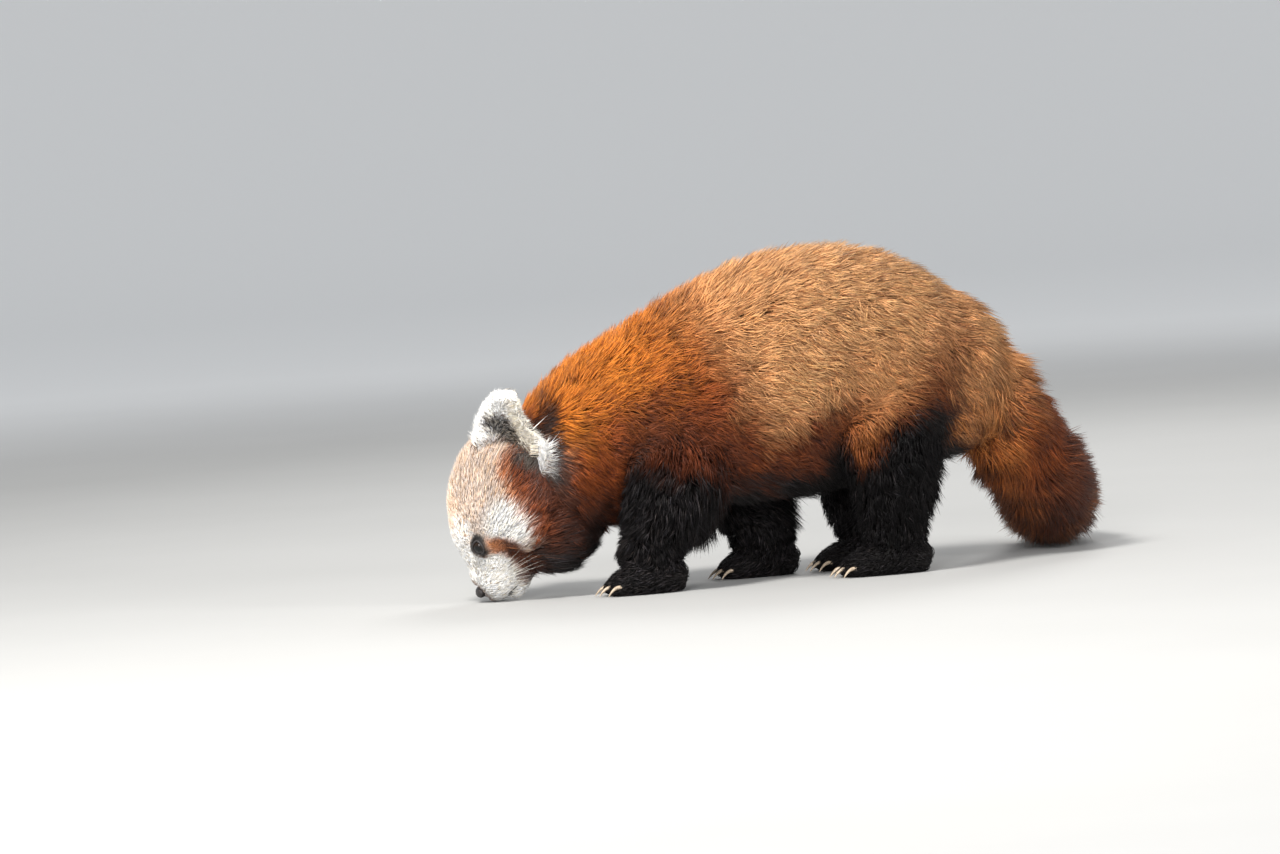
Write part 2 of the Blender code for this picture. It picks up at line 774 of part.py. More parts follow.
ORDER = ["head", "ear_left", "ear_right", "neck", "torso", *LEGS, "tail_upper", "tail_lower"]
PARENTS = {
    "ear_left": ["head"],
    "ear_right": ["head"],
    "neck": ["head", "ear_left", "ear_right"],
    "torso": ["neck"],
    "front_leg_left": ["torso", "neck", "front_paw_left"],
    "front_leg_right": ["torso", "neck", "front_paw_right"],
    "hind_leg_left": ["torso", "hind_paw_left"],
    "hind_leg_right": ["torso", "hind_paw_right"],
    "tail_upper": ["torso", "hind_leg_left", "hind_leg_right"],
    "tail_lower": ["tail_upper"],
}
LOOKS = {
    "head": "pale",
    "neck": "rufous",
    "torso": "tan",
    "tail": "ringed",
    "ear": "white",
    "eye": "eye",
    "nose": "nose",
}


def lay_coat(coat):
    """Locks for every node whose coat is long, in rings that overlap along the lie."""
    comb_tube(coat, "neck", NECK, 9, (32, 82), 42, 0.35)
    comb_tube(coat, "torso", TRUNK, 13, (32, 362), 70, 0.35)
    upper, lower = tail_rows()
    comb_tube(coat, "tail_upper", upper, 7, (44, 122), 60, 0.1)
    comb_tube(coat, "tail_lower", lower, 7, (26, 192), 60, 0.1)
    for name, rows in LEGS.items():
        comb_tube(coat, name, rows, 6, (40, 112), 46, 0.0)


def lay_cheeks(coat):
    """The ruff behind each cheek, which flows back over the neck."""
    place = head_matrix()
    for hand in (1, -1):
        for lane in range(4):
            root = place @ Vector((30 - 15 * lane, hand * 52, -20 - 3 * lane + 1.5 * lane * lane))
            coat.add("head", coat.surface.find_nearest(root)[0], Vector((1, 0, -0.25)), 34, 20, 6)


def comb_body(forms):
    """The coat of the whole body, laid over the union of its cores."""
    whole = copy_of(forms["torso"], "whole")
    cores = [copy_of(forms[name], "core") for name in ORDER if name[:3] not in ("ear", "tor")]
    combine(whole, cores, solver=COAT_SOLVER)
    coat = Coat(surface_of(keep_largest(whole)))
    bpy.data.objects.remove(whole)
    lay_coat(coat)
    lay_cheeks(coat)
    return coat


def locks_of(coat, name, grow=0.0):
    """The locks of a node, or the tufts of an ear, each grown all round by grow."""
    if name in HANDS:
        return [ear_tuft(HANDS[name], *tuft, grow) for tuft in EAR_TUFTS]
    return coat.pieces(name, grow)


def dressed(core, coat, grown):
    """A copy of a node's core with its locks joined on, cut clear of what it grows from."""
    name = core.name
    made = copy_of(core, "dressed")
    combine(made, locks_of(coat, name), solver=COAT_SOLVER)
    cutters = [floor_cutter()] if name.startswith("tail") else []
    for other in PARENTS.get(name, ()):
        cutters += [copy_of(grown[other], "cutter"), *locks_of(coat, other, CLEARANCE)]
    combine(made, cutters, "DIFFERENCE", COAT_SOLVER)
    return keep_largest(made)


def is_sound(piece):
    """Whether a mesh runs nowhere through itself and stays closed when points within 0.001 mm merge."""
    mesh = bmesh.new()
    mesh.from_mesh(piece.data)
    sound = not crosses_itself(mesh)
    bmesh.ops.remove_doubles(mesh, verts=mesh.verts, dist=0.001)
    sound = sound and all(len(edge.link_faces) == 2 for edge in mesh.edges)
    mesh.free()
    return sound


def build_nodes():
    """Every node in plan millimetres, each cut clear of what it grows from."""
    forms = body_forms(CORE_SHARE)
    for name in HANDS:
        forms[name] = ear(name)
    for name in PAWS:
        forms[name] = paw(name)
    grown = {name: swollen(piece, CLEARANCE) for name, piece in forms.items()}
    coat = comb_body(forms)
    for name in PAWS:
        coat.comb(name, SEED)
    for name in ORDER:
        for seed in range(SEED, SEED + LAYINGS):
            coat.comb(name, seed)
            made = dressed(forms[name], coat, grown)
            sound = is_sound(made)
            if sound:
                forms[name].data = made.data
            bpy.data.objects.remove(made)
            if sound:
                break
    finish_head(forms["head"])
    for other in grown.values():
        bpy.data.objects.remove(other)


def finish_head(head):
    """Eye sockets, lids, the mouth's line and the seat of the nose."""
    lids = [ring_of("lid", eye_outline(hand), 1.9) for hand in (1, -1)]
    for piece in lids:
        to_plan(piece)
    combine(head, lids, solver=COAT_SOLVER)
    cutters = []
    for hand in (1, -1):
        socket = ellipsoid("socket", mirrored(EYE_PLACE, hand), [EYE_RADIUS + GAP] * 3, None, 12, 7)
        cutters += [to_plan(socket), to_plan(mouth_cutter(hand))]
    cutters.append(to_plan(nose(CLEARANCE)))
    combine(head, cutters, "DIFFERENCE", COAT_SOLVER)
    keep_largest(head)
    for hand, side in ((1, "left"), (-1, "right")):
        ball = ellipsoid(f"eye_{side}", mirrored(EYE_PLACE, hand), [EYE_RADIUS] * 3, None, 12, 7)
        to_plan(ball)
    pad = nose()
    combine(pad, [nostril(1), nostril(-1)], "DIFFERENCE")
    keep_largest(to_plan(pad))


def paint_and_place():
    """Gives each node its material, shades it smooth and moves it to the model's frame."""
    nodes = list(bpy.context.scene.objects)
    points = np.array([vert.co for piece in nodes for vert in piece.data.vertices])
    middle = (points.min(axis=0) + points.max(axis=0)) / 2
    place = Matrix.Diagonal((MM, MM, MM, 1)) @ Matrix.Translation((-middle[0], -middle[1], 0))
    for piece in nodes:
        piece.data.transform(place)
        piece.data.materials.clear()
        piece.data.materials.append(material(look_of(piece.name)))
        piece.data.shade_smooth()
        piece.data.set_sharp_from_angle(angle=math.radians(50))


def look_of(name):
    """The name of a node's colour."""
    if "leg" in name or "paw" in name:
        return "black"
    return LOOKS.get(name.split("_")[0])


def main():
    clear_scene()
    build_nodes()
    paint_and_place()


main()
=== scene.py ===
"""Looks of a life-size red panda that stands with its head lowered to sniff the ground.

Lengths are millimetres on the plan of the solids, where the animal faces -X and its left side is -Y,
until place_in_frame() moves a mesh into the frame. One skin carries the markings, and the coat grows from it
in thin tufts that follow the lie of the fur.
"""

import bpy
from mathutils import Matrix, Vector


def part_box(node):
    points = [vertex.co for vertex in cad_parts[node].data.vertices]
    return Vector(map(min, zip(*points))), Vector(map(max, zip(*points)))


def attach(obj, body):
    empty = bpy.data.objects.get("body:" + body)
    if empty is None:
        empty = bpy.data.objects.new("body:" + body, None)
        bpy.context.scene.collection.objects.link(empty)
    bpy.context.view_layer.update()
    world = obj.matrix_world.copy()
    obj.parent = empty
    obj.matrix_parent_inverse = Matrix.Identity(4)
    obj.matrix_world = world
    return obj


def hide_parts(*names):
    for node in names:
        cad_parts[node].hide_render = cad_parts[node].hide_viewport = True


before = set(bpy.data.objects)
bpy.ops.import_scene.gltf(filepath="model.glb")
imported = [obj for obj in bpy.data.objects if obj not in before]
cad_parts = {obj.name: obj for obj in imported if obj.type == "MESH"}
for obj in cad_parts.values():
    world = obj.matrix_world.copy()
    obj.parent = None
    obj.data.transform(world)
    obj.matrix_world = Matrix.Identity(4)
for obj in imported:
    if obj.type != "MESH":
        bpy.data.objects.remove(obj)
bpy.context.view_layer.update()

import math
from collections import namedtuple

import bmesh
import bpy
import numpy as np
from mathutils import Matrix, Vector
from mathutils.bvhtree import BVHTree
from mathutils.kdtree import KDTree

MM = 0.001
UP = np.array((0.0, 0.0, 1.0))

# Each row of a tube is the axis point x, y, z, the half width, the reach above and below the axis,
# and the depth of the coat over the skin there.
NECK = [
    (22, 0, 100, 38, 43, 42, 12),
    (45, 0, 109, 41, 49, 49, 15),
    (70, 0, 122, 46, 54, 54, 18),
    (105, 0, 141, 53, 60, 64, 20),
]
THROAT = ((52, 0, 70), (30, 36, 38))
JAW_ROOT = ((34, 0, 48), (18, 21, 18))
ANKLE = ((2, 0, 33), (25, 21, 17))
TRUNK = [
    (80, 0, 127, 38, 44, 46, 15),
    (105, 0, 141, 53, 60, 64, 20),
    (150, 0, 160, 60, 66, 74, 20),
    (210, 0, 176, 66, 82, 90, 20),
    (275, 0, 187, 70, 94, 98, 20),
    (335, 0, 186, 68, 92, 90, 20),
    (385, 0, 172, 60, 76, 74, 20),
    (422, 0, 152, 46, 54, 50, 18),
    (444, 0, 138, 27, 30, 28, 16),
    (454, 0, 130, 6, 6, 6, 12),
]
TAIL = [
    (408, 0, 188, 22, 24, 22, 22),
    (441, 6, 162, 22, 24, 20, 33),
    (478, 26, 118, 20, 23, 17, 37),
    (508, 60, 77, 18, 20, 16, 37),
    (526, 104, 50, 15, 15, 15, 36),
    (539, 150, 42, 13, 13, 13, 34),
    (547, 194, 37, 10, 10, 10, 31),
    (552, 228, 31, 7, 7, 7, 26),
    (554, 250, 25, 3, 3, 3, 15),
]
FRONT_LEFT = [
    (168, -30, 172, 20, 28, 28, 10),
    (163, -40, 138, 24, 33, 34, 12),
    (155, -51, 100, 26, 33, 33, 14),
    (145, -52, 70, 22, 28, 29, 14),
    (137, -49, 44, 19, 22, 24, 12),
    (134, -47, 18, 17, 19, 21, 10),
]
FRONT_RIGHT = [
    (180, 30, 170, 20, 28, 28, 10),
    (194, 41, 136, 24, 33, 32, 12),
    (214, 51, 100, 25, 31, 30, 14),
    (234, 51, 70, 21, 26, 26, 13),
    (246, 48, 44, 18, 22, 21, 11),
    (251, 46, 18, 17, 19, 19, 10),
]
HIND_LEFT = [
    (368, -30, 180, 22, 32, 38, 10),
    (362, -42, 145, 25, 36, 44, 12),
    (358, -53, 108, 28, 31, 42, 12),
    (357, -54, 76, 23, 25, 32, 11),
    (356, -50, 46, 19, 20, 24, 10),
    (352, -47, 18, 17, 17, 19, 9),
]
HIND_RIGHT = [
    (366, 30, 180, 22, 32, 38, 10),
    (356, 42, 145, 25, 36, 44, 12),
    (348, 53, 108, 28, 31, 40, 12),
    (342, 54, 76, 23, 25, 31, 11),
    (343, 50, 46, 19, 20, 24, 10),
    (344, 47, 18, 17, 17, 19, 9),
]
FRONT_PAW = [
    (-36, 0, 8, 13, 5, 8, 2),
    (-27, 0, 10, 20, 9, 12, 3),
    (-8, 0, 13, 22, 13, 15, 4),
    (14, 0, 14, 19, 15, 16, 4),
    (27, 0, 13, 14, 12, 15, 4),
    (34, 0, 11, 6, 6, 8, 3),
]
HIND_PAW = [
    (-46, 0, 8, 13, 5, 8, 2),
    (-36, 0, 10, 20, 9, 12, 3),
    (-14, 0, 13, 22, 13, 15, 4),
    (14, 0, 14, 18, 15, 16, 4),
    (27, 0, 13, 13, 12, 15, 4),
    (34, 0, 11, 6, 6, 8, 3),
]
PAW_PLACES = {
    "front_left": (FRONT_PAW, (129, -48)),
    "front_right": (FRONT_PAW, (246, 47)),
    "hind_left": (HIND_PAW, (352, -48)),
    "hind_right": (HIND_PAW, (346, 48)),
}
TOES = 5
TOE_SIZE = (10.0, 4.4, 5.8)
TOE_ARCH = 8
CLAW_LENGTH = 11
CLAW_DROP = 7.4

# The head's own frame has x towards the nose, y to the animal's left and z towards the crown.
HEAD_CENTRE = (10, 0, 97)
HEAD_PITCH = math.radians(65)
HEAD_YAW = math.radians(-6)
# Rows: place along x, crown height, throat height, half width, coat.
HEAD_ROWS = [
    (-50, 12, -14, 14, 6),
    (-44, 28, -26, 30, 7),
    (-28, 41, -38, 41, 8),
    (-8, 45, -44, 45, 8),
    (14, 43, -46, 45, 7),
    (34, 34, -45, 39, 5),
    (50, 20, -43, 31, 3),
    (63, 8.5, -41, 24, 2),
    (77, 0, -38, 20, 2),
    (87, -8, -32, 15, 2),
    (93, -14, -24, 6, 1),
]
# Forms melted into the skull: centre and radii, on both sides where they stand off the middle.
HEAD_FORMS = [
    ((6, 27, -12), (32, 21, 27)),
    ((22, 26, -24), (22, 19, 18)),
    ((40, 18, 16), (12, 10, 9)),
    ((74, 10.5, -22), (15, 13, 13)),
    ((69, 0, -40), (15, 11, 8)),
]
EYE_PLACE = np.array((49.5, 28.0, 4.5))
EYE_AIM = Vector((0.62, 0.76, 0.16)).normalized()
EYE_RADIUS = 8.0
# Tangents of the half angles of the lids' opening along and across the eye.
LIDS = (1.5, 0.78)
NOSE_PLACE = np.array((91.0, 0.0, -13.0))
# Pad and septum of the nose: how far they stand from its place, and their radii.
NOSE_PAD = ((-0.6, 0, 0.8), (5.85, 9.72, 5.2))
SEPTUM = ((-1.5, 0, -6), (4.0, 3.2, 5.5))
# The round hole and the slit behind it that make each nostril.
NOSTRIL = (
    ((5.4, 4.2, 0.4), (3.4, 1.7, 2.5)),
    ((3.2, 6.6, -1.4), (3.6, 2.6, 0.9)),
)
# The left half of the mouth, from under the nose back along the lip.
MOUTH = ((93, 0, -26), (89, 5, -31), (84, 11, -35), (78, 16, -38), (73, 19.5, -40))
# Place along x that the lips curve round.
MOUTH_CENTRE = 62
# Ear: medial root, lateral root and tip in the head's frame.
EAR_MEDIAL = (-22, 20, 37)
EAR_LATERAL = (-28, 40, -27)
EAR_TIP = (-89, 61, 24)
EAR_CUP = 11
EAR_THICKNESS = 3.4

# Sizes of the grid on which the forms are blended, and rounds of smoothing, for the body, head and nose.
BODY_MELT = (2.8, 7)
HEAD_MELT = (1.25, 9)
NOSE_MELT = (0.55, 4)

FLESH_NODES = (
    "head", "ear_left", "ear_right", "neck", "torso", "tail_upper", "tail_lower",
    "front_leg_left", "front_leg_right", "hind_leg_left", "hind_leg_right",
    "front_paw_left", "front_paw_right", "hind_paw_left", "hind_paw_right",
)

# Colours of the coat at the tips of the hair, as the photo shows them in even light.
ORANGE = (0.65, 0.215, 0.024)
RUFOUS = (0.30, 0.070, 0.012)
CINNAMON = (0.58, 0.235, 0.072)
STRIPE = (0.40, 0.145, 0.045)
AMBER = (0.66, 0.235, 0.055)
RUSSET = (0.21, 0.055, 0.014)
UMBER = (0.11, 0.028, 0.010)
PLUM = (0.125, 0.034, 0.015)
GOLD = (0.86, 0.46, 0.20)
TAN = (0.80, 0.445, 0.205)
APRICOT = (0.74, 0.385, 0.16)
JET = (0.0055, 0.0048, 0.0055)
ASH = (0.036, 0.033, 0.036)
CREAM = (0.62, 0.54, 0.48)
FROST = (0.75, 0.745, 0.73)
SNOW = (0.95, 0.94, 0.92)
IVORY = (0.88, 0.78, 0.60)
BUFF = (0.72, 0.52, 0.36)
SLATE = (0.075, 0.062, 0.040)
GRIZZLE = (0.37, 0.31, 0.20)
# What the coat's own colour is multiplied by in single darker tufts.
ODD_SHADE = (0.42, 0.34, 0.30)

# The line below which the flank is black, as places along the body and heights, seen from the side.
BLACK_LINE = np.array([
    (60, 60), (95, 94), (120, 126), (154, 128), (168, 120), (190, 106), (215, 98), (232, 94),
    (250, 104), (300, 119), (337, 116), (351, 122), (367, 138), (382, 152), (402, 142), (414, 80), (424, 30),
])
# The dark brown band that runs up the rump from the back of the thigh.
RUMP_BAND = np.array([(386, 110), (386, 140), (396, 195), (404, 240)])
# The ear's shadow on the fur behind and below it, painted black, in the same way.
EAR_SHADE = np.array([(27, 181), (42, 151), (48, 126), (38, 112), (25, 115)])
# The dark stripe from the eye to the throat and the line along which the cheek's fur turns dark, 15 mm
# behind it, in the head's x, z.
TEAR = np.array([(45.5, -8), (45, -18), (48.6, -27.6), (53.5, -36.7), (57, -46)])
FRINGE = np.array([(-38, 24), (-30, 13), (-14, -5.5), (-1, -23), (10, -36), (24, -46)])
FRINGE_DEPTH = 15
# The middle of the dark patch in the ear's cup, as places across and up the ear, and what they span in mm.
CUP_PATCH = np.array([(0.46, 0.48), (0.0, 0.16)])
EAR_SPAN = (33, 74)
TAIL_RINGS = 6.2

# Length of the hair in mm by part, from the end of the part that is nearer the head to its other end.
HAIR = {
    "neck": (31, 31), "trunk": (31, 33), "tail": (44, 46),
    "front_left": (28, 20), "front_right": (28, 20), "hind_left": (28, 20), "hind_right": (28, 20),
}
PAW_HAIR = 11
# How much longer and deeper the fringe behind the fore and the hind legs is.
LEG_FRINGE = {"front": (22, 11), "hind": (10, 4)}
# The point ahead of the nose that the face's fur lies away from.
WHORL = (97, 0, -14)

# From this height up the trunk takes the coat over from the legs, by this much for each mm.
LEG_TOP = 112
LEG_FADE = 0.3
# Width in mm over which one part of the body gives way to the next.
BLEND = 3.5
# What counts as an ear: across it, up it and in front of it.
EAR_REGION = ((-1.25, 1.25), (-0.12, 1.2), (-20, 13))

# How far along the skin a hair's points stand from its root, and how high over it, as shares.
STOPS = (0.0, 0.27, 0.62, 1.0)
RISE = (0.0, 0.42, 0.78, 1.0)
# The least share of its length by which a hair reaches along the skin.
LEAST_REACH = 0.45
# How much the tufts vary in length and in depth, and how much further guard hairs reach and stand out.
LENGTHS = (0.7, 1.12)
DEPTHS = (0.52, 1.12)
GUARD_REACH = 1.2
GUARD_RISE = 1.1
# Corners of a tuft's six triangles: its root, a ring of three points and its tip.
SPINDLE = (0, 2, 1, 0, 3, 2, 0, 1, 3, 1, 2, 4, 2, 3, 4, 3, 1, 4)
# Places of these five points on the chart, beside the root's.
PATCH = np.array([(0, 0), (-0.0012, 0.0015), (0, 0.0015), (0.0012, 0.0015), (0, 0.003)])

# Coats: name, parts of the body, pieces, tufts in each, width in mm, size of a clump, slot.
COATS = (
    ("back", ("trunk",), 4, 27000, 0.95, 9.0, "coat_tan"),
    ("nape", ("neck",), 1, 27000, 0.9, 8.5, "coat_rufous"),
    ("tail", ("tail",), 2, 18000, 1.05, 10.0, "coat_ringed"),
    ("front_legs", ("front_left", "front_right"), 1, 15000, 0.95, 7.0, "coat_black"),
    ("hind_legs", ("hind_left", "hind_right"), 1, 13000, 0.95, 7.0, "coat_black"),
    ("face", ("head",), 1, 29000, 0.62, 4.0, "coat_pale"),
    ("ears", ("ear",), 1, 13000, 0.6, 4.0, "coat_white"),
    ("feet", tuple(f"{paw}_paw" for paw in PAW_PLACES), 1, 9000, 0.9, 5.0, "coat_black"),
)
# How far the tufts of a coat are drawn together and how wild they are, how deep they root, the shade of
# their roots, how much they differ in tone, how far their lie sways and the share of guard hairs.
Style = namedtuple("Style", "pull wild sink root_shade tone sway guards")
LONG = Style(0.70, 0.25, 1.0, 0.22, 0.31, 1.8, 0.12)
SHORT = {
    "face": Style(0.10, 0.12, 0.4, 0.80, 0.12, 0.35, 0.0),
    "ears": Style(0.15, 0.22, 0.4, 0.88, 0.08, 0.6, 0.0),
    "feet": Style(0.25, 0.20, 0.4, 0.50, 0.15, 0.8, 0.0),
}

# The chart: boxes in rows of this many, each with this much of its side in use after a margin.
CHART_COLUMNS = 4
CHART_SIDE = 0.22
CHART_MARGIN = 0.01

# The eye's colours from the middle of the pupil out, by the angle from its aim.
EYE_RINGS = (
    (0.0, (0.002, 0.002, 0.002)),
    (0.30, (0.002, 0.002, 0.002)),
    (0.36, (0.010, 0.005, 0.003)),
    (0.55, (0.017, 0.008, 0.004)),
    (0.66, (0.004, 0.003, 0.002)),
    (1.0, (0.02, 0.013, 0.01)),
)
BUMP_DEPTH = 0.0004
SUN_BLEACH = (0.30, 0.22, 0.15, 1)

WHISKER_SAG = 5.5
WHISKER_RADIUS = 0.17
LIP_RADIUS = 0.6
LID_RADIUS = 0.8
CLAW_RADIUS = 1.75

# Lamps: name, place, size, power and colour.
LIGHTS = (
    ("key", (-1.0, -1.4, 2.2), 0.7, 102.0, (1.0, 0.98, 0.94)),
    ("front_fill", (-1.5, -4.8, 1.8), 1.2, 150.0, (1.0, 0.99, 0.98)),
    ("side_fill", (3.0, -3.6, 1.6), 1.2, 90.0, (1.0, 0.99, 0.98)),
    ("low_fill", (-2.1, -4.1, 0.6), 0.8, 45.0, (1.0, 1.0, 1.0)),
    ("back_rim", (0.8, 1.8, 1.9), 1.2, 34.0, (1.0, 0.99, 0.97)),
)
LIGHTS_AIM = Vector((0, 0, 0.15))
SKY_COLOUR = (0.90, 0.93, 0.96, 1)
SKY_STRENGTH = 0.62
FLOOR_RADIUS = 8
FLOOR_SIDES = 96

# The camera: how far it stands round the animal, above it and off level, its distance in metres, the
# plan point it looks at, and the width of the photo in metres at the animal.
CAMERA_TURN = math.radians(-8)
CAMERA_RISE = math.radians(3)
CAMERA_ROLL = math.radians(-4)
CAMERA_DISTANCE = 6.4
CAMERA_TARGET = (136.6, 0, 146.5)
PHOTO_SPAN = 1280 * 0.0009
SENSOR = 36

HEAD_TURN = Matrix.Rotation(math.pi + HEAD_YAW, 4, "Z") @ Matrix.Rotation(HEAD_PITCH, 4, "Y")
HEAD_MATRIX = Matrix.Translation(HEAD_CENTRE) @ HEAD_TURN
HEAD = np.array(HEAD_MATRIX)
HEAD_AXES = HEAD[:3, :3]
EYE_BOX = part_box("eye_left")
SHIFT = np.array((EYE_BOX[0] + EYE_BOX[1]) / 2) - MM * np.array(HEAD_MATRIX @ Vector(EYE_PLACE))
FRAME_MATRIX = Matrix.Translation(SHIFT) @ Matrix.Scale(MM, 4)


def place_in_frame(points):
    """Plan points in the frame, in metres."""
    return np.asarray(points) * MM + SHIFT


def to_head(points):
    """Plan points in the head's frame."""
    return (points - HEAD[:3, 3]) @ HEAD_AXES


def from_head(points):
    """Points of the head's frame on the plan."""
    return np.asarray(points) @ HEAD_AXES.T + HEAD[:3, 3]


def unit(vectors):
    """Vectors brought to length 1."""
    return vectors / np.maximum(np.linalg.norm(vectors, axis=-1, keepdims=True), 1e-9)


def ramp(value, low, high):
    """A soft step from 0 at low to 1 at high."""
    share = np.clip((value - low) / (high - low), 0, 1)
    return share * share * (3 - 2 * share)


def mix(one, two, share):
    """Colours between two others, by the share of the second."""
    one = np.asarray(one)
    return one + (np.asarray(two) - one) * np.asarray(share)[..., None]


def layered(base, *layers):
    """A colour with others laid over it, each by its share."""
    for colour, share in layers:
        base = mix(base, colour, share)
    return base


def smooth_rows(rows, count):
    """The rows of a table, made into count rows along a Catmull-Rom curve."""
    known = np.array(rows, float)
    last = len(known) - 1
    found = []
    for place in np.linspace(0, last, count):
        i = min(int(place), last - 1)
        f = place - i
        a, b, c, d = (known[min(max(i + k, 0), last)] for k in (-1, 0, 1, 2))
        found.append(
            b + 0.5 * f * ((c - a) + f * ((2 * a - 5 * b + 4 * c - d) + f * (3 * b - a - 3 * c + d)))
        )
    return np.array(found)


class Tube:
    """A limb or the trunk: its axis, sizes and directions, finely sampled."""

    def __init__(self, rows, count=90):
        self.rows = smooth_rows(rows, count)
        self.axis = self.rows[:, :3]
        self.along = unit(np.gradient(self.axis, axis=0))
        side = np.array((0.0, 1.0, 0.0))
        sides = []
        for way in self.along:
            side = unit(side - way * side.dot(way))
            sides.append(side)
        self.side = np.array(sides)
        self.up = np.cross(self.along, self.side)
        steps = np.linalg.norm(np.diff(self.axis, axis=0), axis=1)
        self.places = np.concatenate(([0], np.cumsum(steps)))

    def mesh(self, sides):
        """Points and faces of the tube's closed skin."""
        angles = 2 * math.pi * (np.arange(sides) + 0.5) / sides
        across, rise = np.cos(angles), np.sin(angles)
        heights = np.where(rise > 0, self.rows[:, 4:5], self.rows[:, 5:6])
        rings = (
            self.axis[:, None]
            + self.side[:, None] * (self.rows[:, 3:4] * across)[..., None]
            + self.up[:, None] * (heights * rise)[..., None]
        )
        return rings_mesh(rings, self.axis[0], self.axis[-1])

    def locate(self, points):
        """For each point the nearest place on the axis, how far it is outside the skin, and its angle."""
        index = np.empty(len(points), int)
        for start in range(0, len(points), 20000):
            part = points[start:start + 20000]
            away = ((part[:, None] - self.axis[None]) ** 2).sum(2)
            index[start:start + 20000] = away.argmin(1)
        offset = points - self.axis[index]
        across = (offset * self.side[index]).sum(1)
        rise = (offset * self.up[index]).sum(1)
        angle = np.arctan2(rise, across)
        height = np.where(rise > 0, self.rows[index, 4], self.rows[index, 5])
        radius = 1 / np.sqrt((np.cos(angle) / self.rows[index, 3]) ** 2 + (np.sin(angle) / height) ** 2)
        return index, np.linalg.norm(offset, axis=1) - radius, angle


def rings_mesh(rings, start, end):
    """Points and faces of one closed mesh of rings, with a point at each end."""
    levels, sides = rings.shape[:2]
    points = np.vstack((rings.reshape(-1, 3), [start], [end]))
    faces = []
    for level in range(levels - 1):
        for k in range(sides):
            n = (k + 1) % sides
            one, two = level * sides, (level + 1) * sides
            faces.append((one + k, one + n, two + n, two + k))
    top = (levels - 1) * sides
    for k in range(sides):
        n = (k + 1) % sides
        faces.append((n, k, levels * sides))
        faces.append((top + k, top + n, levels * sides + 1))
    return points, faces


def ellipsoid(centre, radii, columns=24, levels=15):
    """Points and faces of a closed ellipsoid with its poles along x."""
    turns = np.linspace(0, math.pi, levels + 2)[1:-1]
    angles = 2 * math.pi * np.arange(columns) / columns
    rings = np.empty((levels, columns, 3))
    rings[..., 0] = np.cos(turns)[:, None] * radii[0]
    rings[..., 1] = np.sin(turns)[:, None] * np.cos(angles) * radii[1]
    rings[..., 2] = np.sin(turns)[:, None] * np.sin(angles) * radii[2]
    end = np.array((radii[0], 0, 0))
    return rings_mesh(rings + centre, centre + end, centre - end)


def loop_tube(points, radius, sides=10):
    """A closed loop of round section through the points."""
    points = np.array(points)
    count = len(points)
    along = unit(np.roll(points, -1, 0) - np.roll(points, 1, 0))
    out = unit(points - points.mean(0))
    lift = unit(np.cross(along, out))
    out = np.cross(lift, along)
    angles = 2 * math.pi * np.arange(sides) / sides
    rings = (
        points[:, None]
        + out[:, None] * (radius * np.cos(angles))[None, :, None]
        + lift[:, None] * (radius * np.sin(angles))[None, :, None]
    )
    faces = []
    for i in range(count):
        one, two = i * sides, (i + 1) % count * sides
        for k in range(sides):
            n = (k + 1) % sides
            faces.append((one + k, one + n, two + n, two + k))
    return rings.reshape(-1, 3), faces


def mirrored(vector, hand):
    """A point or direction of the left side, or of the right for hand -1."""
    return np.array((vector[0], vector[1] * hand, vector[2]), float)


def joined(parts):
    """Many meshes as one list of points and one of faces."""
    points, faces, start = [], [], 0
    for some, loops in parts:
        points.append(some)
        faces.extend(tuple(start + k for k in loop) for loop in loops)
        start += len(some)
    return np.vstack(points), faces


def add_object(name, data):
    """A new object in the scene."""
    made = bpy.data.objects.new(name, data)
    bpy.context.scene.collection.objects.link(made)
    return made


def piece_of(name, points, faces):
    """An object of these points and faces, with its faces turned outwards."""
    data = bpy.data.meshes.new(name)
    data.from_pydata([tuple(point) for point in points], [], faces)
    mesh = bmesh.new()
    mesh.from_mesh(data)
    bmesh.ops.recalc_face_normals(mesh, faces=mesh.faces)
    mesh.to_mesh(data)
    mesh.free()
    return add_object(name, data)


def shade_smooth(data):
    """Shades every face of a mesh smooth."""
    data.polygons.foreach_set("use_smooth", np.ones(len(data.polygons), bool))


def settle(piece):
    """Applies the modifiers of an object."""
    graph = bpy.context.evaluated_depsgraph_get()
    old = piece.data
    piece.data = bpy.data.meshes.new_from_object(piece.evaluated_get(graph))
    piece.modifiers.clear()
    bpy.data.meshes.remove(old)
    return piece


def melt(piece, voxel, rounds):
    """Blends the forms of a mesh into one smooth surface."""
    remesh = piece.modifiers.new("melt", "REMESH")
    remesh.mode = "VOXEL"
    remesh.voxel_size = voxel
    soften = piece.modifiers.new("soften", "SMOOTH")
    soften.iterations = rounds
    soften.factor = 0.5
    return settle(piece)


def combine(piece, other, operation):
    """One Boolean of two closed meshes, of which the second is removed."""
    join = piece.modifiers.new("join", "BOOLEAN")
    join.operation = operation
    join.solver = "MANIFOLD"
    join.object = other
    settle(piece)
    bpy.data.objects.remove(other)
    return piece


def eye_axes(hand):
    """The eye's aim, the long way of its opening, towards the nose, and the short way."""
    aim = mirrored(EYE_AIM, hand)
    nose_way = np.array((1, -0.35 * hand, -0.62))
    long_way = unit(nose_way - aim * nose_way.dot(aim))
    return aim, long_way, np.cross(aim, long_way)


def lid_outline(hand, reach, points=32):
    """The edge of the lids on a ball round the eye: an almond, drawn out to the corner near the nose."""
    aim, long_way, short_way = eye_axes(hand)
    angles = 2 * math.pi * np.arange(points)[:, None] / points
    along, across = np.cos(angles), np.sin(angles)
    narrow = 1 - 0.45 * along ** 2 - 0.08 * along
    ways = aim + long_way * LIDS[0] * along + short_way * LIDS[1] * across * narrow
    return mirrored(EYE_PLACE, hand) + unit(ways) * reach


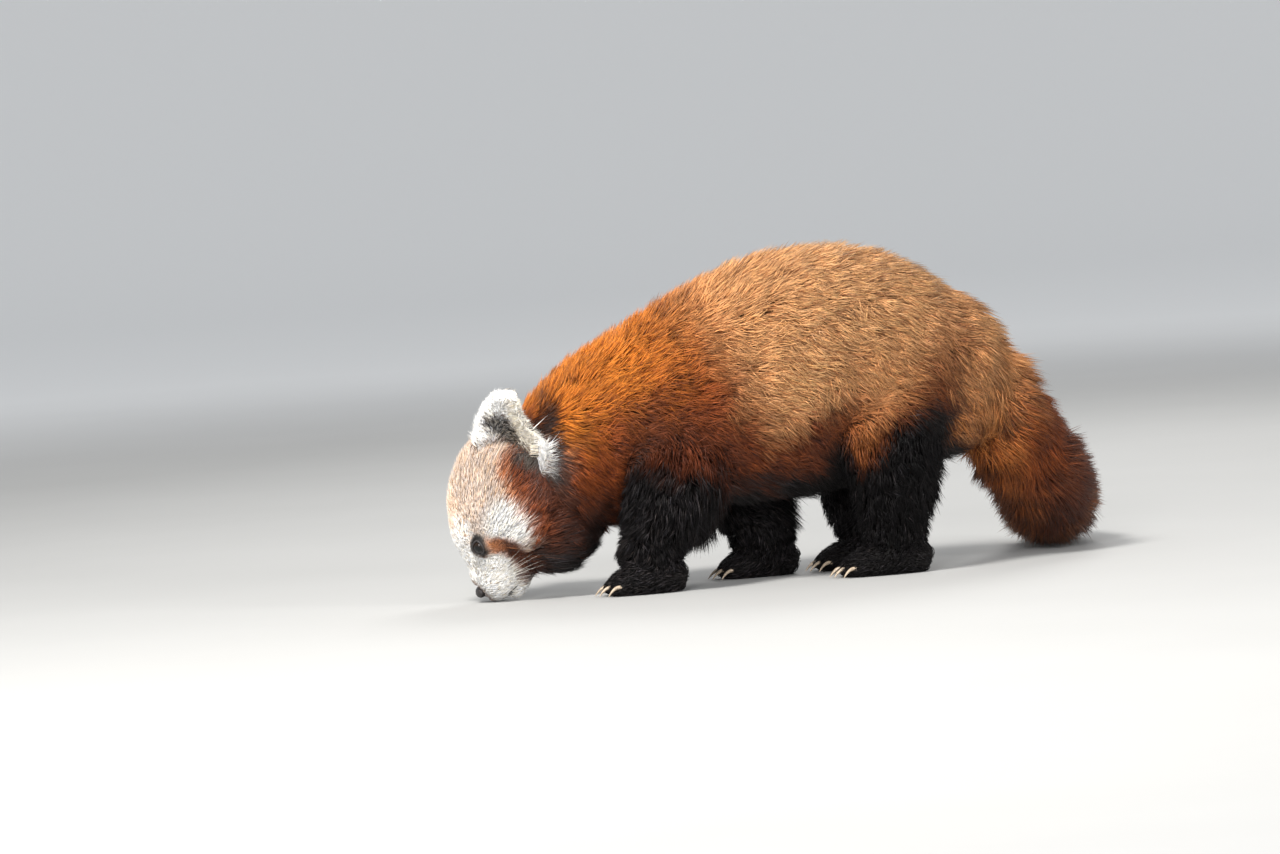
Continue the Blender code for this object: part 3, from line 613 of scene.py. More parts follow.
def lid_cutter(hand):
    """What is cut from the lids to open the eye."""
    rings = np.array([lid_outline(hand, 3.0), lid_outline(hand, 15.0)])
    centre = mirrored(EYE_PLACE, hand)
    return rings_mesh(rings, centre, centre + mirrored(EYE_AIM, hand) * 15.0)


def ear_frame(hand):
    """The middle of the ear's root, half its width, its height and the way its cup faces."""
    medial, lateral, tip = (mirrored(v, hand) for v in (EAR_MEDIAL, EAR_LATERAL, EAR_TIP))
    root, across = (medial + lateral) / 2, (medial - lateral) / 2
    rise = tip - root
    return root, across, rise, unit(np.cross(rise, across) * hand)


def ear_mesh(hand, columns=21, levels=26):
    """A cupped, rounded triangle of an ear, open to the side."""
    root, across, rise, face = ear_frame(hand)
    rings = []
    for turn in np.linspace(0, math.pi / 2, levels):
        v = -0.22 + 1.15 * math.sin(turn)
        wide = max(1 - max(v / 0.98, 0) ** 2.4, 0.0) ** 0.55 * (1 + 0.1 * v) * 0.95
        half = EAR_THICKNESS / 2 * (1.3 - 0.3 * max(v, 0))
        fronts, backs = [], []
        for u in np.linspace(-1, 1, columns):
            cup = EAR_CUP * (1 - u * u) * wide
            reach = wide * (1 if u > 0 else 1 - 0.85 * ramp(v, 0.36, 0.78))
            middle = root + rise * v + across * u * reach - face * (cup - 6 * v * v)
            edge = half * (1 - 0.35 * u * u)
            fronts.append(middle + face * edge)
            backs.append(middle - face * edge)
        rings.append(fronts + backs[::-1])
    rings = np.array(rings)
    return rings_mesh(rings, rings[0].mean(0) - unit(rise), rings[-1].mean(0) + unit(rise) * 0.5)


def mouth_blade(hand):
    """A thin blade along the lip that leaves the line of the closed mouth."""
    line = np.array([mirrored(point, hand) for point in MOUTH])
    rings = []
    for point in line:
        out = unit(np.array((point[0] - MOUTH_CENTRE, point[1] * 1.5, 0)))
        half = np.array((0, 0, 0.45))
        rings.append([point + out * 8 + half, point + out * 8 - half, point - out * 3.2])
    return rings_mesh(np.array(rings), line[0] + (0, -1.5 * hand, 0), line[-1] + (-2, 0, 1))


LIMBS = {
    "neck": Tube(NECK),
    "trunk": Tube(TRUNK),
    "tail": Tube(TAIL, 160),
    "front_left": Tube(FRONT_LEFT),
    "front_right": Tube(FRONT_RIGHT),
    "hind_left": Tube(HIND_LEFT),
    "hind_right": Tube(HIND_RIGHT),
}
for paw, (rows, (x, y)) in PAW_PLACES.items():
    LIMBS[f"{paw}_paw"] = Tube([(row[0] + x, row[1] + y, *row[2:]) for row in rows])
LEGS = ("front_left", "front_right", "hind_left", "hind_right")


def toe_spots(paw, ahead, half, height):
    """How far out each toe of a paw stands, from -1 to 1, and a point on it."""
    rows, (x, y) = PAW_PLACES[paw]
    for spread in np.linspace(-1, 1, TOES):
        front = x + rows[0][0] + ahead + TOE_ARCH * spread * spread
        yield spread, np.array((front, y + half * spread, height))


def make_body():
    """Limbs, trunk, tail, throat and paws, blended into one form."""
    parts = [tube.mesh(36) for tube in LIMBS.values()]
    parts += [ellipsoid(np.array(centre), radii) for centre, radii in (THROAT, JAW_ROOT)]
    for paw, (_, (x, y)) in PAW_PLACES.items():
        parts.append(ellipsoid(np.array(ANKLE[0]) + (x, y, 0), ANKLE[1]))
        for _, centre in toe_spots(paw, 3, 16, 7.4):
            parts.append(ellipsoid(centre, TOE_SIZE, 14, 9))
    return melt(piece_of("skin", *joined(parts)), *BODY_MELT)


def make_head():
    """Skull, ears and lids, blended into one form, with the sockets and the mouth cut in."""
    rows = [
        (x, 0, (top + low) / 2, wide, (top - low) / 2, (top - low) / 2, coat)
        for x, top, low, wide, coat in HEAD_ROWS
    ]
    parts = [Tube(rows, 50).mesh(44)]
    for centre, radii in HEAD_FORMS:
        for hand in (1, -1) if centre[1] else (1,):
            parts.append(ellipsoid(mirrored(centre, hand), radii))
    for hand in (1, -1):
        parts.append(ear_mesh(hand))
        parts.append(ellipsoid(mirrored(EYE_PLACE, hand), [EYE_RADIUS + 1.3] * 3))
    head = melt(piece_of("head_skin", *joined(parts)), *HEAD_MELT)
    for hand in (1, -1):
        ball = ellipsoid(mirrored(EYE_PLACE, hand), [EYE_RADIUS + 0.2] * 3, 32, 21)
        for name, cutter in (("socket", ball), ("opening", lid_cutter(hand)), ("mouth", mouth_blade(hand))):
            combine(head, piece_of(name, *cutter), "DIFFERENCE")
    head.data.transform(HEAD_MATRIX)
    return head


def make_skin():
    """One closed skin for the whole animal, finer on the head, that ends just over the floor."""
    body = combine(make_body(), make_head(), "UNION")
    mesh = bmesh.new()
    mesh.from_mesh(body.data)
    bmesh.ops.triangulate(mesh, faces=mesh.faces)
    for vert in mesh.verts:
        vert.co.z = max(vert.co.z, 0.2)
    mesh.to_mesh(body.data)
    mesh.free()
    return body


def radii_away(points, centre, radii):
    """How far points lie from an ellipsoid's centre, as a share of its radii."""
    return np.linalg.norm((points - np.array(centre)) / np.array(radii), axis=1)


def head_excess(points):
    """How far points in the head's frame lie outside the skull and its forms."""
    rows = np.array(HEAD_ROWS, float)
    x = np.clip(points[:, 0], rows[0, 0], rows[-1, 0])
    top, low, wide = (np.interp(x, rows[:, 0], rows[:, k]) for k in (1, 2, 3))
    half, middle = (top - low) / 2, (top + low) / 2
    share = np.sqrt((points[:, 1] / wide) ** 2 + ((points[:, 2] - middle) / half) ** 2)
    found = (share - 1) * np.minimum(wide, half) + abs(points[:, 0] - x)
    for centre, radii in HEAD_FORMS:
        for hand in (1, -1):
            beyond = (radii_away(points, mirrored(centre, hand), radii) - 1) * min(radii)
            found = np.minimum(found, beyond)
    return found


def ear_coordinates(points, hand):
    """Place across the ear from its rear to its front edge, up the ear, and in front of it in mm."""
    root, across, rise, face = ear_frame(hand)
    basis = np.column_stack((across, rise, face))
    return np.linalg.solve(basis, (points - root).T).T


def blob(points, centre, radii, soft=0.35):
    """1 inside an ellipsoid and 0 outside, with a soft edge."""
    return 1 - ramp(radii_away(points, centre, radii), 1 - soft, 1 + soft)


def line_distance(points, line):
    """Distance of points in a plane from a polyline, positive on its right."""
    best = np.full(len(points), 1e9)
    sign = np.ones(len(points))
    for one, two in zip(line[:-1], line[1:]):
        way = two - one
        share = np.clip(((points - one) @ way) / (way @ way), 0, 1)
        offset = points - one - share[:, None] * way
        away = np.linalg.norm(offset, axis=1)
        turn = way[0] * (points - one)[:, 1] - way[1] * (points - one)[:, 0]
        closer = away < best
        best = np.where(closer, away, best)
        sign = np.where(closer, np.where(turn < 0, 1.0, -1.0), sign)
    return best * sign


def wave_noise(points, size, seed):
    """Smooth noise of about one unit, from a sum of plane waves of about this wavelength."""
    chance = np.random.default_rng(seed)
    total = np.zeros(len(points))
    for _ in range(9):
        way = unit(chance.normal(size=3)) * 2 * math.pi / (size * chance.uniform(0.7, 1.5))
        total += np.sin(points @ way + chance.uniform(0, 2 * math.pi))
    return total / 2.1


class Hide:
    """The skin, with the lie, length and colour of the fur at each of its points."""

    def __init__(self, piece):
        data = piece.data
        count = len(data.vertices)
        self.points = np.empty(count * 3)
        data.vertices.foreach_get("co", self.points)
        self.points = self.points.reshape(-1, 3)
        self.normals = np.empty(count * 3, np.float32)
        data.vertex_normals.foreach_get("vector", self.normals)
        self.normals = self.normals.reshape(-1, 3).astype(float)
        self.faces = np.empty(len(data.polygons) * 3, np.int32)
        data.loops.foreach_get("vertex_index", self.faces)
        self.faces = self.faces.reshape(-1, 3)
        mesh = bmesh.new()
        mesh.from_mesh(data)
        self.tree = BVHTree.FromBMesh(mesh)
        mesh.free()
        self.ends = np.vstack((self.faces[:, [0, 1]], self.faces[:, [1, 2]], self.faces[:, [2, 0]]))
        self.degree = np.bincount(self.ends[:, 0], minlength=count).astype(float)
        self.weigh()
        self.comb()
        self.paint()
        self.walk()
        self.atlas = self.unroll()
        self.bare = self.bare_places()

    def weigh(self):
        """How much each part of the body has to say at each point."""
        self.local = to_head(self.points)
        self.folded = np.column_stack((self.local[:, 0], abs(self.local[:, 1]), self.local[:, 2]))
        self.side = np.where(self.local[:, 1] > 0, 1, -1)
        self.share, self.index, self.angle, excess = {}, {}, {}, {}
        for name, tube in LIMBS.items():
            index, excess[name], self.angle[name] = tube.locate(self.points)
            if name in LEGS:
                excess[name] += LEG_FADE * np.maximum(self.points[:, 2] - LEG_TOP, 0)
            self.share[name] = tube.places[index] / tube.places[-1]
            self.index[name] = (self.share[name] * (len(tube.axis) - 1)).astype(int)
        throat = (radii_away(self.points, *THROAT) - 1) * min(THROAT[1])
        excess["neck"] = np.minimum(excess["neck"], throat)
        excess["head"] = head_excess(self.local)
        beyond = np.min(list(excess.values()), axis=0)
        self.ear = np.zeros((len(self.points), 3))
        excess["ear"] = np.full(len(self.points), 60.0)
        for hand in (1, -1):
            found = ear_coordinates(self.local, hand)
            near = self.side == hand
            for k, (low, high) in enumerate(EAR_REGION):
                near &= (found[:, k] > low) & (found[:, k] < high)
            self.ear[near] = found[near]
            excess["ear"][near] = np.maximum(9 - 2.2 * beyond[near], 0)
        names = list(excess)
        stack = np.array([np.maximum(excess[name], -3) for name in names])
        stack -= stack.min(0)
        weight = np.exp(-stack / BLEND)
        weight /= weight.sum(0)
        self.weight = dict(zip(names, weight))
        self.main = np.array(names)[weight.argmax(0)]

    def past_eye(self):
        """Where the points lie from the centre of the nearer eye, and how far."""
        offset = self.folded - EYE_PLACE
        return offset, np.linalg.norm(offset, axis=1)

    def comb(self):
        """The way the fur lies, its length and how far its tips stand from the skin."""
        flow = np.zeros_like(self.points)
        length = np.zeros(len(self.points))
        depth = np.zeros(len(self.points))
        for name in LIMBS:
            way, hair, deep = self.comb_limb(name)
            weight = self.weight[name]
            flow += unit(way) * weight[:, None]
            length += weight * hair
            depth += weight * deep
        self.comb_head(flow, length, depth)
        self.comb_ears(flow, length, depth)
        for _ in range(6):
            flow = self.blur(unit(flow))
            length = self.blur(length)
            depth = self.blur(depth)
        flow -= self.normals * (flow * self.normals).sum(1, keepdims=True)
        self.flow, self.length, self.depth = unit(flow), length, depth

    def comb_limb(self, name):
        """The lie, length and depth of the fur of one limb, the neck, the trunk or the tail."""
        x, z = self.points[:, 0], self.points[:, 2]
        ahead, above = self.normals[:, 0], self.normals[:, 2]
        tube, index, share = LIMBS[name], self.index[name], self.share[name]
        way = tube.along[index].copy()
        deep = tube.rows[index, 6]
        if name.endswith("paw"):
            return -way - UP * 0.5 * ramp(z, 14, 30)[:, None], PAW_HAIR, deep
        first, last = HAIR[name]
        hair = first + (last - first) * share
        if name in ("trunk", "neck"):
            fall = 0.45 + 0.35 * (1 - ramp(x, 150, 235)) * (1 - ramp(z, 120, 190))
            way -= UP * (fall * (1 - abs(np.sin(self.angle[name])) ** 3))[:, None]
        if name == "trunk":
            rump = ramp(x, 402, 430) * ramp(above, 0.1, 0.6)
            hair = hair + 8 * rump
            deep = deep + 14 * rump
        if name == "neck":
            deep = deep + 5 * ramp(-above, 0.1, 0.8)
        if name == "tail":
            base = (1 - ramp(share, 0.1, 0.2)) * ramp(above, -0.3, 0.5)
            outer = ramp(above + ahead, 0.3, 1.0)
            outer *= ramp(share, 0.1, 0.18) * (1 - ramp(share, 0.34, 0.46))
            hair = hair + 8 * base
            deep = deep + 9 * base - 12 * outer
        if name in LEGS:
            rear = ramp(ahead, 0.0, 0.8) * ramp(z, 45, 80)
            ankle = 0.74 + 0.26 * ramp(z, 30, 66)
            longer, deeper = LEG_FRINGE[name.split("_")[0]]
            way[:, 0] += 0.45 * rear
            hair = (hair + longer * rear) * ankle
            deep = (deep + deeper * rear) * ankle
        return way, hair, deep

    def comb_head(self, flow, length, depth):
        """The face's fur lies away from the nose and parts round the eyes."""
        x, _, z = self.folded.T
        weight = self.weight["head"]
        away = unit(self.local - WHORL)
        away[:, 2] -= 0.18 * (1 - ramp(z, -10, 25))
        from_eye, gap = self.past_eye()
        part = unit(from_eye) * (1.6 * (1 - ramp(gap, 9, 19)))[:, None]
        part[:, 1] *= self.side
        flow += unit(away + part) @ HEAD_AXES.T * weight[:, None]
        cheek = ramp(line_distance(self.local[:, [0, 2]], FRINGE), -16, 6)
        jaw = (1 - ramp(z, -42, -34)) * (1 - ramp(x, 60, 70)) * ramp(x, 10, 40)
        hair = 7.5 + 4.5 * ramp(-x, -62, -5) + 4 * ramp(-x, 0, 30) + 15 * cheek
        hair = hair * (0.42 + 0.58 * ramp(gap, 9, 24)) + 14 * jaw
        length += hair * weight
        coat = np.interp(x, *np.array(HEAD_ROWS)[:, [0, 4]].T) * (1.0 + 0.8 * cheek) + 1.3 * ramp(x, 40, 60)
        coat *= 0.4 + 0.6 * ramp(gap, 9, 20)
        depth += (coat + 8 * jaw) * weight

    def comb_ears(self, flow, length, depth):
        """Hair outwards over the ears' rims, and long pale hair across the cup to its rear edge."""
        u, v, _ = self.ear.T
        weight = self.weight["ear"]
        inside = self.ear_side() > 0
        rim = ramp(u, 0.25, 0.8)
        for hand in (1, -1):
            _, across, rise, face = ear_frame(hand)
            across, rise = unit(across), unit(rise)
            here = ((self.side == hand) * weight)[:, None]
            over = across * (2 * rim - 1)[:, None] + rise * (0.1 + 0.9 * rim)[:, None] + face * 0.35
            lie = np.where(inside[:, None], over, rise + across * 0.3 * u[:, None])
            flow += unit(lie) @ HEAD_AXES.T * here
        self.tuft = ramp(-u, 0.2, 0.75) * (1 - ramp(v, 0.3, 0.65)) * inside
        length += (8.5 + 4 * inside + 17 * self.tuft) * weight
        depth += (3.4 + 3 * inside + 3 * self.tuft) * weight

    def ear_side(self):
        """Positive on the side of the ear that its cup faces."""
        face = np.array([from_head(ear_frame(hand)[3]) - from_head((0, 0, 0)) for hand in (1, -1)])
        return (self.normals * np.where((self.side == 1)[:, None], face[0], face[1])).sum(1)

    def blur(self, values):
        """Each point's value averaged with those of its neighbours."""
        flat = values.reshape(len(values), -1)
        total = np.column_stack([
            np.bincount(self.ends[:, 0], flat[self.ends[:, 1], k], len(values)) for k in range(flat.shape[1])
        ])
        return ((flat + total) / (1 + self.degree[:, None])).reshape(values.shape)

    def paint(self):
        """The colour of the fur's tips at each point."""
        points = self.points
        x = 0.99 * points[:, 0] + 0.139 * abs(points[:, 1])
        z = points[:, 2]
        rough = wave_noise(points, 45, 3) * 7 + wave_noise(points, 14, 4) * 3
        # Painted shadow: black where the ear's shadow falls on the neck and on the back of the head.
        behind_ear = abs(line_distance(np.column_stack((x, z)), EAR_SHADE)) + rough * 0.3
        shade = (1 - ramp(behind_ear, 5, 16)) * ramp(abs(points[:, 1]), 14, 26)
        neck = layered(
            mix(UMBER, RUFOUS, ramp(z + rough, 72, 120)),
            (ORANGE, ramp(z + rough, 128, 172)),
            (JET, 1 - ramp(z + rough * 0.5, 38, 72)),
            (JET, shade * 0.95),
        )
        body = self.paint_body(x, z, rough)
        special = {"neck": neck, "tail": self.paint_tail(rough)}
        # The ear's painted shadow also reaches the back of the head.
        head = mix(self.paint_head(), JET, shade * ramp(-self.local[:, 0], 8, 22))
        self.colour = np.zeros((len(points), 3))
        for name in LIMBS:
            self.colour += special.get(name, body) * self.weight[name][:, None]
        self.colour += head * self.weight["head"][:, None]
        self.colour += self.paint_ear() * self.weight["ear"][:, None]
        self.colour = self.blur(self.colour)
        self.paint_odd()

    def paint_body(self, x, z, rough):
        """Orange shoulders, a pale back, a dark band up the rump and black below the flank's line."""
        over = z - np.interp(x, *BLACK_LINE.T) + rough
        front = 1 - ramp(x + rough, 170, 262)
        low = 30 + 8 * ramp(x, 265, 300) - 24 * ramp(x, 315, 352)
        band = 1 - ramp(abs(line_distance(np.column_stack((x, z)), RUMP_BAND)) + rough * 0.4, 8, 28)
        return layered(
            mix(RUFOUS, RUSSET, ramp(x, 200, 270)),
            (GOLD, (1 - front) * ramp(over, low, low + 34)),
            (APRICOT, ramp(z + rough, 178, 236) * ramp(x, 115, 215)),
            (TAN, ramp(z + rough, 150, 235) * ramp(x, 205, 300) * 0.8),
            (ORANGE, ramp(z + rough, 150, 195) * (1 - ramp(x, 95, 220))),
            (PLUM, front * (1 - ramp(over, 14, 62)) * 0.85),
            (AMBER, 0.75 * ramp(x + rough, 400, 432) * (1 - ramp(z, 140, 185))),
            # Painted shade: the rear flank below the back is darkened towards cinnamon.
            (CINNAMON, 0.4 * ramp(x + rough, 280, 360) * (1 - ramp(z, 185, 235))),
            (mix(UMBER, RUSSET, ramp(z, 120, 160)), 0.95 * band * (1 - ramp(z, 165, 262))),
            (UMBER, (1 - ramp(over, 8, 30)) * 0.9),
            (JET, 1 - ramp(over, -4, 13)),
        )

    def paint_tail(self, rough):
        """From gold to dark brown and black along the tail, paler beneath, with faint rings."""
        share = self.share["tail"]
        uneven = share + 0.005 * rough
        wave = 0.4 * wave_noise(self.points, 40, 9)
        ring = 0.5 + 0.5 * np.cos(share * 2 * math.pi * TAIL_RINGS + 0.8 + wave)
        under = ramp(-self.normals[:, 0] - 0.4 * self.normals[:, 2], -0.1, 0.7)
        return layered(
            mix(GOLD, AMBER, ramp(share, 0.12, 0.22)),
            (AMBER, 0.8 * under * ramp(share, 0.02, 0.1)),
            (RUFOUS, ramp(share, 0.13, 0.24) * (0.95 - 0.7 * under)),
            (RUSSET, ramp(uneven, 0.20, 0.32) * (0.92 - 0.5 * under)),
            (UMBER, ramp(uneven, 0.28, 0.40) * (0.9 - 0.3 * under)),
            (RUFOUS, ring * 0.5 * ramp(share, 0.04, 0.12) * (1 - ramp(share, 0.3, 0.45))),
            (CINNAMON, (1 - ring) * 0.5 * ramp(share, 0.5, 0.6)),
            (JET, 0.8 * ramp(share, 0.9, 0.96)),
        )

    def paint_head(self):
        """Pale face with buff flecks, rufous behind it, and a dark stripe and rim at each eye."""
        local = self.folded
        plane = local[:, [0, 2]]
        fleck = wave_noise(self.points, 5, 21)
        x, y, z = local.T
        behind = line_distance(plane, FRINGE) + FRINGE_DEPTH
        below = np.maximum(1 - ramp(z - 0.2 * x + fleck, 12, 24), ramp(-x, 36, 46))
        under = (1 - ramp(z + fleck, -38, -31)) * (1 - ramp(x + fleck, 65, 73)) * ramp(x, 30, 42)
        stripe = 1 - ramp(abs(line_distance(plane, TEAR)) + fleck * 0.8 - 2 * ramp(-z, 12, 30), 3.5, 8.5)
        stripe *= ramp(y, 8, 16)
        from_eye, gap = self.past_eye()
        _, long_way, short_way = eye_axes(1)
        almond = np.hypot(from_eye @ long_way / 10.5, from_eye @ short_way / 7.4)
        nose_gap = np.linalg.norm(local - NOSE_PLACE, axis=1)
        return layered(
            mix(CREAM, BUFF, 0.28 * ramp(fleck + ramp(-x, -30, 20), 0.3, 1.4)),
            (BUFF, 0.33 * ramp(z - 0.5 * x, 34, 62)),
            (BUFF, 0.55 * blob(local, (27, 12, 26), (12, 13, 16))),
            (FROST, blob(local, (24, 36, -12), (22, 26, 21))),
            (FROST, blob(local, (43, 20, 20), (12, 13, 11))),
            (FROST, ramp(x, 48, 58)),
            (ORANGE, 0.8 * below * ramp(behind + fleck * 2, -5, 2) * ramp(z, -30, -5)),
            (RUFOUS, below * ramp(behind + fleck * 2, -2, 6) * (1 - ramp(z, 28, 40))),
            (UMBER, below * ramp(behind + fleck, 7, 18) * (1 - ramp(z, 0, 25))),
            (UMBER, under),
            (JET, under * (1 - ramp(z, -46, -38)) * 0.8),
            (STRIPE, stripe * 0.95),
            (UMBER, stripe * ramp(-z, 6, 22) * 0.95),
            (CINNAMON, 0.55 * (1 - ramp(gap + fleck * 0.4, 10.5, 13)) * ramp(-from_eye[:, 2], -2, 6)),
            (JET, 1 - ramp(almond, 0.9, 1.15)),
            (JET, self.lid_edge()),
            (UMBER, 0.6 * (1 - ramp(nose_gap, 9, 12))),
        )

    def paint_ear(self):
        """White rims, an ivory cup with its dark patch, and a black back that is rufous at the root."""
        u, v, _ = self.ear.T
        fleck = wave_noise(self.points, 3.5, 23)
        inner = layered(
            mix(SNOW, IVORY, 0.6 * (1 - ramp(abs(u + 0.1), 0.3, 0.55))),
            (SLATE, 0.8 * ramp(self.cup_patch() + fleck * 0.3, 0.3, 0.9)),
        )
        outer = layered(
            mix(JET, RUFOUS, 1 - ramp(v, 0.05, 0.3)),
            (SNOW, ramp(np.maximum(u, v - 0.08) + fleck * 0.04, 0.45, 0.68)),
        )
        return mix(outer, inner, ramp(self.ear_side() + 0.6 * ramp(-u, 0.4, 0.9), -0.25, 0.1))

    def paint_odd(self):
        """The colour and the share of single odd tufts."""
        tone = self.colour.sum(1)
        head, ear = self.weight["head"], self.weight["ear"]
        bright = ramp(tone, 0.05, 0.12)
        # Painted highlight: more grey tufts on the black fore parts lighten them as if lit, in place of
        # glints.
        lit_forelegs = (1 - bright) * (1 - ramp(self.points[:, 0], 225, 280))
        flecked = head * (1 - blob(self.folded, (30, 36, -8), (26, 26, 24)))
        flecked *= 1 - ramp(self.folded[:, 0], 44, 56)
        pale = (head + ear) * ramp(tone, 1.0, 1.6)
        muzzle = head * ramp(self.folded[:, 0], 48, 60)
        dark_cup = ear * self.cup_patch()
        self.odd = layered(
            mix(ASH, self.colour * ODD_SHADE, bright),
            (BUFF, ramp(flecked, 0.3, 0.6) * ramp(tone, 0.9, 1.4)),
            (GRIZZLE, muzzle * pale),
            (JET, dark_cup),
        )
        odds = 0.05 + 0.21 * bright + 0.25 * lit_forelegs
        odds = odds * (1 - pale) + (0.22 * flecked + 0.09 * muzzle) * pale
        self.odds = np.maximum(odds, 0.5 * dark_cup)

    def lid_edge(self):
        """1 on the bare edge of the lids, round the aim of the eye."""
        from_eye, gap = self.past_eye()
        aim, long_way, short_way = eye_axes(1)
        ahead = np.maximum(from_eye @ aim, 0.05)
        along, across = from_eye @ long_way / ahead / LIDS[0], from_eye @ short_way / ahead / LIDS[1]
        return (1 - ramp(np.hypot(along, across), 1.35, 1.75)) * (1 - ramp(gap, 11, 12.5))

    def cup_patch(self):
        """The dark patch in the ear's cup."""
        away = abs(line_distance(self.ear[:, :2] * EAR_SPAN, CUP_PATCH * EAR_SPAN))
        return (1 - ramp(away, 5, 13)) * (self.ear_side() > 0)

    def bare_places(self):
        """1 where fur grows and 0 on the edges of the lids, the eyes and the nose."""
        nose_gap = np.linalg.norm(self.folded - NOSE_PLACE, axis=1)
        ball = self.past_eye()[1] < EYE_RADIUS + 0.8
        return ((self.lid_edge() < 0.5) & (nose_gap > 7.8) & ~ball).astype(float)

    def walk(self):
        """Places and outward directions on the skin that a hair passes over on its way to its tip."""
        reach = np.sqrt(np.maximum(self.length ** 2 - self.depth ** 2, (LEAST_REACH * self.length) ** 2))
        self.stops = [self.points]
        self.outs = [self.normals]
        for share in STOPS[1:]:
            target = self.points + self.flow * (reach * share)[:, None]
            found = np.array([self.tree.find_nearest(point)[:2] for point in target.tolist()])
            self.stops.append(found[:, 0])
            self.outs.append(found[:, 1])

    def unroll(self):
        """A chart of the skin's own shape: each part is unrolled round its axis into a box of its own."""
        atlas = np.zeros((len(self.points), 2))
        for k, name in enumerate((*LIMBS, "head", "ear")):
            if name == "head":
                along = (self.local[:, 0] + 60) / 165
                around = np.arctan2(self.local[:, 1], self.local[:, 2]) / (2 * math.pi) + 0.5
            elif name == "ear":
                along = np.clip((self.ear[:, 1] + 0.3) / 1.6, 0, 1)
                around = np.clip((self.ear[:, 0] + 1.3) / 2.6, 0, 1) * 0.24
                around = around + np.where(self.side > 0, 0, 0.5) + np.where(self.ear_side() > 0, 0, 0.25)
            else:
                along = self.share[name]
                around = self.angle[name] / (2 * math.pi) + 0.5
            corner = np.array(divmod(k, CHART_COLUMNS)[::-1]) / CHART_COLUMNS + CHART_MARGIN
            box = np.clip(np.column_stack((along, around)), 0, 1) * CHART_SIDE + corner
            atlas = np.where((self.main == name)[:, None], box, atlas)
        return atlas


def dress(data, colours, chart):
    """Gives a mesh its colours, one for each point, and its chart, one place for each corner."""
    layer = data.color_attributes.new("Fur", "FLOAT_COLOR", "POINT")
    layer.data.foreach_set("color", np.column_stack((colours, np.ones(len(colours)))).ravel())
    places = data.uv_layers.new(name="OFBake")
    places.data.foreach_set("uv", chart.ravel())
    shade_smooth(data)


